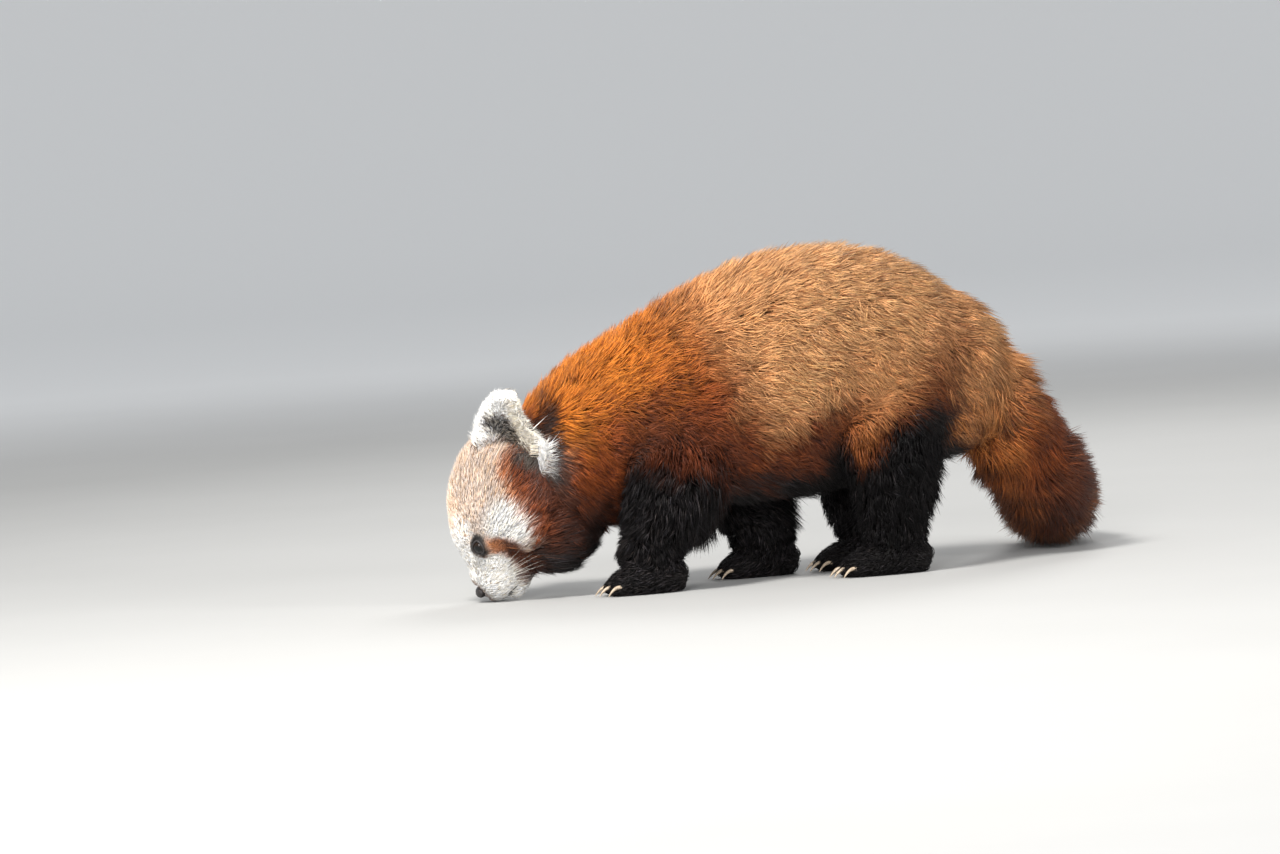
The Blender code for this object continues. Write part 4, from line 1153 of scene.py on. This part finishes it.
class Fur:
    """Tufts of one part of the coat, grown from the skin."""

    def __init__(self, hide, name, chance, style):
        self.hide, self.name, self.chance, self.style = hide, name, chance, style

    def sow(self, count, density):
        """Roots spread over the skin in proportion to a density at its points."""
        faces = self.hide.faces
        weight = np.cumsum(self.areas(faces) * density[faces].mean(1))
        marks = (np.arange(count) + self.chance.uniform(0, 1, count)) / count * weight[-1]
        self.face = np.minimum(np.searchsorted(weight, marks), len(weight) - 1)
        one, two = self.chance.uniform(0, 1, (2, count))
        root = np.sqrt(one)
        self.bary = np.column_stack((1 - root, root * (1 - two), root * two))

    def areas(self, faces):
        """Twice the area of each of these triangles of the skin."""
        corners = self.hide.points[faces]
        return np.linalg.norm(np.cross(corners[:, 1] - corners[:, 0], corners[:, 2] - corners[:, 0]), axis=1)

    def at(self, values):
        """Values of the skin's points at the roots."""
        picked = values[self.hide.faces[self.face]]
        if picked.ndim == 2:
            return (picked * self.bary).sum(1)
        return (picked * self.bary[..., None]).sum(1)

    def grow(self, width, clump):
        """Paths of the tufts, drawn together in clumps."""
        count = len(self.face)
        chance, style = self.chance, self.style
        stops = np.array([self.at(stop) for stop in self.hide.stops])
        outs = np.array([unit(self.at(out)) for out in self.hide.outs])
        reach = chance.uniform(*LENGTHS, count)
        rise = self.at(self.hide.depth) * chance.uniform(*DEPTHS, count)
        guard = chance.uniform(0, 1, count) < style.guards
        reach[guard] *= GUARD_REACH
        rise[guard] *= GUARD_RISE
        turn = style.sway * (0.16 * wave_noise(stops[0], 38, 31) + 0.14 * wave_noise(stops[0], 11, 32))
        turn += chance.normal(0, style.wild, count)
        shift = stops - stops[0]
        crossed = np.cross(outs[0], shift)
        shift = shift * np.cos(turn)[None, :, None] + crossed * np.sin(turn)[None, :, None]
        self.path = stops[0] + shift * reach[None, :, None]
        self.path += outs * (np.array(RISE)[:, None] * rise)[..., None]
        self.path[0] -= outs[0] * style.sink
        self.outs = outs
        self.width = width * chance.uniform(0.75, 1.25, count)
        self.gather(clump)
        self.path[..., 2] = np.maximum(self.path[..., 2], 0.5)

    def gather(self, size):
        """Draws the tips of neighbouring tufts together."""
        roots = self.path[0]
        count = len(roots)
        area = self.areas(self.hide.faces[np.unique(self.face)]).sum() / 2
        heads = self.chance.choice(count, max(int(area / size ** 2), 1), replace=False)
        tree = KDTree(len(heads))
        for i, head in enumerate(heads):
            tree.insert(roots[head], i)
        tree.balance()
        nearest = heads[[tree.find(root)[1] for root in roots.tolist()]]
        strength = self.style.pull * self.chance.uniform(0.3, 1.0, count)
        self.clump = nearest
        for level, share in ((1, 0.15), (2, 0.5), (3, 1.0)):
            drawn = (strength * share)[:, None]
            self.path[level] += (self.path[level][nearest] - self.path[level]) * drawn

    def colours(self):
        """Colour of each tuft at its root, along it and at its tip."""
        count = len(self.face)
        tone = self.style.tone
        odd = self.chance.uniform(0, 1, count) < self.at(self.hide.odds)
        base = np.where(odd[:, None], self.at(self.hide.odd), self.at(self.hide.colour))
        clump_tone = self.chance.normal(0, tone, count)[self.clump]
        light = np.exp(np.minimum(self.chance.normal(0, tone, count) + clump_tone, 0.14))
        warm = self.chance.normal(0, 0.10, count)
        warmth = np.column_stack((np.exp(0.25 * warm), np.ones(count), np.exp(-0.6 * warm)))
        tip = base * light[:, None] * warmth
        pale = ramp(base.sum(1), 1.3, 2.2)
        # Roots are darker than tips: partly darker underfur, partly painted shade deep in the coat.
        deep = tip * mix((0.85, 0.6, 0.45), (1.0, 0.96, 0.92), pale)
        middle = mix(deep, tip, 0.55) * (0.78 + 0.14 * pale)[:, None]
        return np.clip(np.array([deep * self.style.root_shade, middle, tip * 1.15]), 0.002, 0.95)

    def build(self, slot, material):
        """One mesh of all tufts: closed spindles of triangular section."""
        path = self.path
        count = path.shape[1]
        colours = self.colours()[[0, 1, 1, 1, 2]]
        middle = path[1] * 0.45 + path[2] * 0.55
        along = unit(path[3] - path[0])
        side = unit(np.cross(along, self.outs[1]))
        lift = np.cross(side, along)
        rolled = self.chance.uniform(-0.8, 0.8, count)
        across = side * np.cos(rolled)[:, None] + lift * np.sin(rolled)[:, None]
        above = np.cross(across, along)
        half = (self.width / 2)[:, None]
        ring = [middle + across * half, middle + above * half * 0.8, middle - across * half]
        corners = [path[0], *ring, path[3]]
        points = np.stack(corners, 1).reshape(-1, 3)
        shade = np.stack(colours, 1).reshape(-1, 3)
        atlas = (self.at(self.hide.atlas)[:, None] + PATCH).reshape(-1, 2)

        indices = (np.arange(count)[:, None] * len(corners) + SPINDLE).ravel()
        data = bpy.data.meshes.new(self.name)
        data.vertices.add(len(points))
        data.vertices.foreach_set("co", place_in_frame(points).ravel())
        data.loops.add(len(indices))
        data.loops.foreach_set("vertex_index", indices)
        data.polygons.add(len(indices) // 3)
        data.polygons.foreach_set("loop_start", np.arange(0, len(indices), 3))
        data.polygons.foreach_set("loop_total", np.full(len(indices) // 3, 3))
        data.update(calc_edges=True)
        data.validate()
        dress(data, shade, atlas[indices])
        return finish(add_object(self.name, data), slot, material)


def finish(piece, slot, material, *nodes):
    """Gives a piece its material and hides the nodes that it stands for; its slot is not used."""
    piece.data.materials.clear()
    piece.data.materials.append(material)
    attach(piece, "root")
    if nodes:
        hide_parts(*nodes)
    return piece


def new_group(name, inputs, outputs, kind="ShaderNodeTree"):
    """An empty node group with named sockets, its entry and its exit."""
    group = bpy.data.node_groups.new(name, kind)
    for label, socket_kind, value in inputs:
        socket = group.interface.new_socket(label, in_out="INPUT", socket_type=socket_kind)
        if value is not None:
            socket.default_value = value
    for label, socket_kind in outputs:
        group.interface.new_socket(label, in_out="OUTPUT", socket_type=socket_kind)
    return group, group.nodes.new("NodeGroupInput"), group.nodes.new("NodeGroupOutput")


def feed(tree, node, inputs):
    """Sets inputs of a node, by name or by number, to values or to the outputs of other nodes."""
    for key, value in inputs.items():
        if isinstance(value, bpy.types.NodeSocket):
            tree.links.new(value, node.inputs[key])
        else:
            node.inputs[key].default_value = value


def add_node(tree, kind, inputs, **settings):
    """A new node with its settings and its inputs."""
    node = tree.nodes.new(kind)
    for name, value in settings.items():
        setattr(node, name, value)
    feed(tree, node, inputs)
    return node


def math_node(tree, operation, one, two, clamp=False):
    """The result of a sum, a product or the like of two values."""
    return add_node(tree, "ShaderNodeMath", {0: one, 1: two}, operation=operation, use_clamp=clamp).outputs[0]


def spread_node(tree, value, spread, least):
    """A value that runs from least up by spread."""
    return math_node(tree, "ADD", math_node(tree, "MULTIPLY", value, spread), least)


def mix_node(tree, share, one, two, blend="MIX"):
    """A colour between two others, or one laid over the other."""
    inputs = {"Factor": share, "A": one, "B": two}
    return add_node(tree, "ShaderNodeMix", inputs, data_type="RGBA", blend_type=blend).outputs["Result"]


def noise_node(tree, scale, detail, rough=0.5, stretch=(1, 1, 1)):
    """Noise on object coordinates, longer along an axis where stretch says so."""
    place = add_node(tree, "ShaderNodeTexCoord", {}).outputs["Object"]
    turned = add_node(tree, "ShaderNodeMapping", {"Vector": place, "Scale": stretch}).outputs[0]
    inputs = {"Vector": turned, "Scale": scale, "Detail": detail, "Roughness": rough}
    return add_node(tree, "ShaderNodeTexNoise", inputs).outputs["Fac"]


def bump_node(tree, height, strength):
    """The normal of a surface that follows a height."""
    inputs = {"Strength": strength, "Distance": BUMP_DEPTH, "Height": height}
    return add_node(tree, "ShaderNodeBump", inputs).outputs["Normal"]


def make_fur_tone():
    """Group: colour broken into finer hairs, with dust-dulled and sun-bleached patches."""
    group, entry, leave = new_group(
        "fur tone",
        (("Colour", "NodeSocketColor", (1, 1, 1, 1)), ("Fineness", "NodeSocketFloat", 900.0),
         ("Contrast", "NodeSocketFloat", 0.5), ("Bleach", "NodeSocketFloat", 0.1)),
        (("Colour", "NodeSocketColor"), ("Height", "NodeSocketFloat")),
    )
    given = entry.outputs
    fine = noise_node(group, given["Fineness"], 3.0, 0.6, (0.35, 1.0, 0.7))
    wide = noise_node(group, 22.0, 2.0)
    swing = math_node(group, "MULTIPLY", math_node(group, "SUBTRACT", fine, 0.5), given["Contrast"])
    inputs = {0: given["Colour"], "Scale": spread_node(group, swing, 2.0, 1.0)}
    scaled = add_node(group, "ShaderNodeVectorMath", inputs, operation="SCALE").outputs[0]
    bleach = math_node(group, "MULTIPLY", wide, given["Bleach"])
    feed(group, leave, {"Colour": mix_node(group, bleach, scaled, SUN_BLEACH, "SCREEN"), "Height": fine})
    return group


def make_grain():
    """Group: fine leather or horn grain, as a height and a mask of its pits."""
    group, entry, leave = new_group(
        "grain",
        (("Scale", "NodeSocketFloat", 700.0), ("Pits", "NodeSocketFloat", 0.5)),
        (("Height", "NodeSocketFloat"), ("Mask", "NodeSocketFloat")),
    )
    place = add_node(group, "ShaderNodeTexCoord", {}).outputs["Object"]
    inputs = {"Vector": place, "Scale": entry.outputs["Scale"]}
    cells = add_node(group, "ShaderNodeTexVoronoi", inputs).outputs["Distance"]
    fine = math_node(group, "MULTIPLY", noise_node(group, 2400.0, 3.0), 0.25)
    pits = math_node(group, "MULTIPLY", cells, entry.outputs["Pits"])
    feed(group, leave, {
        "Height": math_node(group, "ADD", pits, fine),
        "Mask": math_node(group, "MULTIPLY", cells, 1.6, True),
    })
    return group


FUR_TONE = make_fur_tone()
GRAIN = make_grain()


def shaded(name):
    """A new material with its tree and its Principled shader."""
    material = bpy.data.materials.new(name)
    material.use_nodes = True
    tree = material.node_tree
    return material, tree, tree.nodes["Principled BSDF"]


def fur_material(name, rough=0.55, sheen=0.03, bleach=0.02, contrast=0.35, fineness=900.0, specular=0.2):
    """Hair whose colour comes from the coat's own attribute."""
    material, tree, shader = shaded(name)
    colour = add_node(tree, "ShaderNodeAttribute", {}, attribute_name="Fur").outputs["Color"]
    inputs = {"Colour": colour, "Fineness": fineness, "Contrast": contrast, "Bleach": bleach}
    tone = add_node(tree, "ShaderNodeGroup", inputs, node_tree=FUR_TONE)
    height = tone.outputs["Height"]
    feed(tree, shader, {
        "Base Color": tone.outputs["Colour"],
        "Roughness": spread_node(tree, height, 0.25, rough - 0.12),
        "Specular IOR Level": specular,
        "Sheen Weight": sheen,
        "Sheen Roughness": 0.4,
        "Normal": bump_node(tree, height, 0.25),
    })
    return material


def plain_material(name, colour, rough, scale, pits, strength):
    """Leather, horn or wet skin: one colour broken by its grain."""
    material, tree, shader = shaded(name)
    grain = add_node(tree, "ShaderNodeGroup", {"Scale": scale, "Pits": pits}, node_tree=GRAIN)
    mask = grain.outputs["Mask"]
    dark, light = ((*[min(c * tone, 1) for c in colour], 1) for tone in (0.6, 1.25))
    feed(tree, shader, {
        "Base Color": mix_node(tree, mask, dark, light),
        "Roughness": spread_node(tree, mask, 0.2, rough - 0.1),
        "Normal": bump_node(tree, grain.outputs["Height"], strength),
    })
    return material


def eye_material():
    """A wet eye: black pupil, dark brown iris and a darker rim, by the angle from the eye's aim."""
    material, tree, shader = shaded("wet eye")
    gaze = add_node(tree, "ShaderNodeAttribute", {}, attribute_name="Gaze").outputs["Fac"]
    fibres = math_node(tree, "MULTIPLY", noise_node(tree, 900.0, 3.0), 0.08)
    angle = math_node(tree, "SUBTRACT", math_node(tree, "ADD", fibres, gaze), 0.04)
    rings = add_node(tree, "ShaderNodeValToRGB", {"Fac": angle})
    stops = rings.color_ramp.elements
    for place, _ in EYE_RINGS[1:-1]:
        stops.new(place)
    for stop, (_, colour) in zip(stops, EYE_RINGS):
        stop.color = (*colour, 1)
    feed(tree, shader, {
        "Base Color": rings.outputs["Color"],
        "Roughness": 0.08,
        "Specular IOR Level": 0.25,
        "Coat Weight": 0.25,
        "Coat Roughness": 0.03,
    })
    return material


def floor_material():
    """Pale, matt studio floor with a faint mottle, darker near the lamps, paler far out as painted light."""
    material, tree, shader = shaded("studio floor")
    place = add_node(tree, "ShaderNodeTexCoord", {}).outputs["Object"]
    away = add_node(tree, "ShaderNodeVectorMath", {0: place}, operation="LENGTH").outputs["Value"]
    inputs = {"Value": away, "From Min": 2.0, "From Max": 5.5}
    fade = add_node(tree, "ShaderNodeMapRange", inputs, interpolation_type="SMOOTHERSTEP").outputs["Result"]
    mottle = math_node(tree, "MULTIPLY", noise_node(tree, 3.0, 4.0), 0.06)
    shade = math_node(tree, "ADD", fade, mottle, True)
    feed(tree, shader, {
        "Base Color": mix_node(tree, shade, (0.36, 0.358, 0.352, 1), (0.86, 0.86, 0.86, 1)),
        "Roughness": 0.85,
        "Specular IOR Level": 0.2,
    })
    return material


def make_strand_tree():
    """Geometry Nodes: lines with a radius at each point, made solid and smooth."""
    tree, entry, leave = new_group(
        "tapered strands",
        (("Lines", "NodeSocketGeometry", None), ("Sides", "NodeSocketInt", 6),
         ("Thickness", "NodeSocketFloat", 1.0), ("Finish", "NodeSocketMaterial", None)),
        (("Strands", "NodeSocketGeometry"),),
        "GeometryNodeTree",
    )
    given = entry.outputs
    curve = add_node(tree, "GeometryNodeMeshToCurve", {"Mesh": given["Lines"]}).outputs["Curve"]
    radius = add_node(tree, "GeometryNodeInputNamedAttribute", {"Name": "radius"}, data_type="FLOAT")
    scale = math_node(tree, "MULTIPLY", radius.outputs["Attribute"], given["Thickness"])
    widths = add_node(tree, "GeometryNodeSetCurveRadius", {"Curve": curve, "Radius": scale})
    circle = add_node(tree, "GeometryNodeCurvePrimitiveCircle", {"Resolution": given["Sides"], "Radius": 1.0})
    solid = add_node(tree, "GeometryNodeCurveToMesh", {
        "Curve": widths.outputs["Curve"],
        "Profile Curve": circle.outputs["Curve"],
        "Scale": scale,
        "Fill Caps": True,
    }).outputs["Mesh"]
    smooth = add_node(tree, "GeometryNodeSetShadeSmooth", {"Geometry": solid}).outputs["Geometry"]
    real = add_node(tree, "GeometryNodeRealizeInstances", {"Geometry": smooth}).outputs["Geometry"]
    coat = add_node(tree, "GeometryNodeSetMaterial", {"Geometry": real, "Material": given["Finish"]})
    feed(tree, leave, {"Strands": coat.outputs["Geometry"]})
    return tree


STRAND_TREE = make_strand_tree()
STRAND_KEYS = {item.name: item.identifier for item in STRAND_TREE.interface.items_tree}


def make_strands(name, lines, radii, slot, material, sides):
    """A piece of tapered strands along lines of plan points, each with a radius in mm at each point."""
    edges, start = [], 0
    for line in lines:
        edges += [(start + k, start + k + 1) for k in range(len(line) - 1)]
        start += len(line)
    data = bpy.data.meshes.new(f"{name}_lines")
    data.from_pydata(place_in_frame(np.vstack(lines)).tolist(), edges, [])
    layer = data.attributes.new("radius", "FLOAT", "POINT")
    layer.data.foreach_set("value", np.concatenate(radii) * MM)
    carrier = add_object(f"{name}_lines", data)
    grow = carrier.modifiers.new("strands", "NODES")
    grow.node_group = STRAND_TREE
    for label, value in (("Sides", sides), ("Thickness", 1.0), ("Finish", material)):
        grow[STRAND_KEYS[label]] = value
    graph = bpy.context.evaluated_depsgraph_get()
    made = add_object(name, bpy.data.meshes.new_from_object(carrier.evaluated_get(graph)))
    bpy.data.objects.remove(carrier)
    return finish(made, slot, material)


def make_whiskers(material):
    """Pale whiskers in rows on the muzzle and over the eyes."""
    chance = np.random.default_rng(61)
    lines = []
    for hand in (1, -1):
        for row in range(4):
            for k in range(6):
                root = np.array((84 - 3.4 * k - row, 12.5 + 1.6 * k + row * 0.6, -16 - 4.2 * row - 0.8 * k))
                way = unit(np.array((-0.35 - 0.12 * k, 0.95, -0.30 - 0.16 * row)) + chance.normal(0, 0.08, 3))
                lines.append(whisker(root, way, 20 + 3.4 * k + chance.uniform(-3, 5), hand))
        for k in range(4):
            root = np.array((52 - 2.5 * k, 19 + 2 * k, 21 + 0.5 * k))
            lines.append(whisker(root, unit(np.array((0.25 - 0.25 * k, 0.8, 0.6))), 19 + 2.0 * k, hand))
    radii = [WHISKER_RADIUS * (1 - np.linspace(0, 0.93, len(line))) for line in lines]
    return make_strands("whiskers", [from_head(line) for line in lines], radii, "coat_white", material, 5)


def whisker(root, way, length, hand):
    """A whisker's line in the head's frame, bent by its own weight and swept back."""
    found = []
    for share in np.linspace(0, 1, 9):
        point = root + way * length * share
        point = point - HEAD_AXES.T @ UP * WHISKER_SAG * share ** 2
        point = point + np.array((-0.12, 0, 0)) * length * share ** 2
        found.append(mirrored(point, hand))
    return np.array(found)


def make_claws(material):
    """Curved claws that grow from the toes and end at the floor."""
    lines, radii = [], []
    shares = np.linspace(-0.2, 1, 9)
    radius = CLAW_RADIUS * np.sqrt(np.clip(1.02 - shares, 0.004, 1))
    for paw in PAW_PLACES:
        for spread, knuckle in toe_spots(paw, 2, 17, 8.7):
            turn = -0.35 * spread
            ahead = np.array((-math.cos(turn), -math.sin(turn), 0))
            line = knuckle + ahead * 5 + ahead * CLAW_LENGTH * shares[:, None]
            line = line - UP * (CLAW_DROP * shares ** 2)[:, None]
            line[:, 2] = np.maximum(line[:, 2], radius + 0.1)
            lines.append(line)
            radii.append(radius)
    return make_strands("claws", lines, radii, "claw", material, 10)


def make_eye(name, hand, material):
    """An eyeball with a slight cornea, and its gaze as an attribute for the iris."""
    points, faces = ellipsoid(np.zeros(3), [EYE_RADIUS] * 3, 48, 31)
    aim = mirrored(EYE_AIM, hand)
    across = unit(np.cross(aim, (0, 0, 1)))
    basis = np.column_stack((aim, across, np.cross(aim, across)))
    turned = points @ basis.T
    angle = np.arccos(np.clip(unit(turned) @ aim, -1, 1))
    turned *= (1 + 0.035 * (1 - ramp(angle, 0.35, 0.75)))[:, None]
    placed = from_head(turned + mirrored(EYE_PLACE, hand))
    piece = piece_of(f"{name}_ball", place_in_frame(placed), faces)
    shade_smooth(piece.data)
    gaze = piece.data.attributes.new("Gaze", "FLOAT", "POINT")
    gaze.data.foreach_set("value", angle / 1.3)
    return finish(piece, "eye", material, name)


def make_nose(material):
    """The nose leather: pad, septum and comma-shaped nostrils."""
    parts = [
        ellipsoid(NOSE_PLACE + place, radii, columns, levels)
        for (place, radii), columns, levels in ((NOSE_PAD, 32, 21), (SEPTUM, 20, 13))
    ]
    piece = melt(piece_of("nose_pad", *joined(parts)), *NOSE_MELT)
    for hand in (1, -1):
        for place, radii in NOSTRIL:
            cut = ellipsoid(mirrored(NOSE_PLACE + place, hand), radii, 16, 11)
            combine(piece, piece_of("nostril", *cut), "DIFFERENCE")
    soften = piece.modifiers.new("soften", "SMOOTH")
    soften.iterations = 2
    settle(piece)
    piece.data.transform(FRAME_MATRIX @ HEAD_MATRIX)
    shade_smooth(piece.data)
    return finish(piece, "nose", material, "nose")


def make_lips(material):
    """Dark, moist lips along the line of the mouth."""
    lines = []
    for hand in (1, -1):
        line = smooth_rows([mirrored(point, hand) for point in MOUTH], 24)
        out = unit(np.column_stack((line[:, 0] - MOUTH_CENTRE, line[:, 1] * 1.5, np.zeros(len(line)))))
        lines.append(from_head(line - out * 1.2))
    radius = LIP_RADIUS * np.interp(np.linspace(0, 1, 24), (0, 0.15, 0.8, 1), (0.7, 1, 0.9, 0.3))
    return make_strands("lips", lines, [radius] * len(lines), "nose", material, 8)


def make_eyelids(material):
    """Bare dark rims of the lids round each eye."""
    parts = []
    for hand in (1, -1):
        points, faces = loop_tube(lid_outline(hand, EYE_RADIUS + 0.5, 44), LID_RADIUS, 8)
        parts.append((from_head(points), faces))
    points, faces = joined(parts)
    piece = piece_of("lid_rims", place_in_frame(points), faces)
    shade_smooth(piece.data)
    return finish(piece, "nose", material)


def make_floor():
    """A round floor that rises softly at its edge."""
    profile = [(radius, 0.0) for radius in (0.5, 2, 5, FLOOR_RADIUS)]
    profile += [
        (FLOOR_RADIUS + FLOOR_RADIUS * math.sin(turn), FLOOR_RADIUS * (1 - math.cos(turn)))
        for turn in np.linspace(0.08, 1.25, 16)
    ]
    sides = FLOOR_SIDES
    angles = 2 * math.pi * np.arange(sides) / sides
    rings = [
        np.column_stack((radius * np.cos(angles), radius * np.sin(angles), np.full(sides, height)))
        for radius, height in profile
    ]
    faces = [(0, 1 + k, 1 + (k + 1) % sides) for k in range(sides)]
    for ring in range(len(profile) - 1):
        for k in range(sides):
            one, two, n = 1 + ring * sides, 1 + (ring + 1) * sides, (k + 1) % sides
            faces.append((one + k, two + k, two + n, one + n))
    floor = piece_of("studio_floor", np.vstack(([(0, 0, 0)], *rings)), faces)
    shade_smooth(floor.data)
    floor.data.materials.append(floor_material())


def make_studio():
    """Lamps and world."""
    for name, place, size, power, colour in LIGHTS:
        lamp = bpy.data.lights.new(name, "AREA")
        lamp.shape = "DISK"
        lamp.size = size
        lamp.energy = power
        lamp.color = colour
        made = add_object(name, lamp)
        made.location = place
        made.rotation_euler = (LIGHTS_AIM - Vector(place)).to_track_quat("-Z", "Y").to_euler()
    world = bpy.data.worlds.new("studio")
    world.use_nodes = True
    tree = world.node_tree
    feed(tree, tree.nodes["Background"], {"Color": SKY_COLOUR, "Strength": SKY_STRENGTH})
    bpy.context.scene.world = world
    bpy.context.scene.view_settings.view_transform = "Standard"


def make_camera():
    """The photograph's view: level with the animal's left side, and a long lens."""
    level = math.cos(CAMERA_RISE)
    back = Vector((math.sin(CAMERA_TURN) * level, -math.cos(CAMERA_TURN) * level, math.sin(CAMERA_RISE)))
    lens = bpy.data.cameras.new("view")
    lens.sensor_width = SENSOR
    lens.lens = SENSOR * CAMERA_DISTANCE / PHOTO_SPAN
    lens.clip_end = 100
    camera = add_object("view", lens)
    target = Vector(place_in_frame(CAMERA_TARGET))
    look = (-back).to_track_quat("-Z", "Y").to_matrix().to_4x4() @ Matrix.Rotation(CAMERA_ROLL, 4, "Z")
    camera.matrix_world = Matrix.Translation(target + back * CAMERA_DISTANCE) @ look
    bpy.context.scene.camera = camera


def dress_skin(piece, hide, material):
    """The skin in the frame, in the coat's colours, a little darker: partly darker underfur, partly painted
    shade under the coat.
    """
    shade = hide.colour * (0.5 + 0.3 * (hide.weight["head"] + hide.weight["ear"]))[:, None]
    dress(piece.data, shade, hide.atlas[hide.faces.ravel()])
    piece.data.transform(FRAME_MATRIX)
    return finish(piece, "coat_rufous", material, *FLESH_NODES)


def make_coat(hide, materials):
    """All pieces of the coat, denser towards the nose and on the tufts of the ears."""
    seed = 100
    share = 1.0
    for name, parts, pieces, count, width, clump, slot in COATS:
        density = sum(hide.weight[part] for part in parts) * hide.bare
        if name == "face":
            density = density * (1 + 1.6 * ramp(hide.local[:, 0], 10, 60))
        if name == "ears":
            density = density * (1 + 2.5 * hide.tuft)
        for k in range(pieces):
            seed += 1
            fur = Fur(hide, f"{name}_coat_{k + 1}", np.random.default_rng(seed), SHORT.get(name, LONG))
            fur.sow(int(count * share), density)
            fur.grow(width, clump)
            fur.build(slot, materials[slot])


def make_all():
    """Studio, skin, coat, and the bare parts of the head and feet."""
    make_camera()
    make_floor()
    make_studio()
    skin = make_skin()
    hide = Hide(skin)
    dress_skin(skin, hide, fur_material("short undercoat", rough=0.7, contrast=0.6, fineness=1300.0))
    make_coat(hide, {
        "coat_tan": fur_material("tan fur"),
        "coat_rufous": fur_material("rufous fur"),
        "coat_ringed": fur_material("ringed fur"),
        "coat_black": fur_material("black fur", rough=0.42, sheen=0.0, bleach=0.0, specular=0.15),
        "coat_pale": fur_material("pale fur", sheen=0.15, contrast=0.2),
        "coat_white": fur_material("white fur", sheen=0.15, contrast=0.15),
    })
    wet = eye_material()
    make_eye("eye_left", 1, wet)
    make_eye("eye_right", -1, wet)
    leather = plain_material("nose leather", (0.022, 0.018, 0.018), 0.38, 1500.0, 0.8, 0.5)
    make_nose(leather)
    make_lips(leather)
    make_eyelids(leather)
    make_claws(plain_material("claw horn", (0.32, 0.25, 0.18), 0.35, 500.0, 0.3, 0.15))
    make_whiskers(plain_material("whisker bristle", (0.75, 0.71, 0.64), 0.4, 900.0, 0.2, 0.1))


make_all()
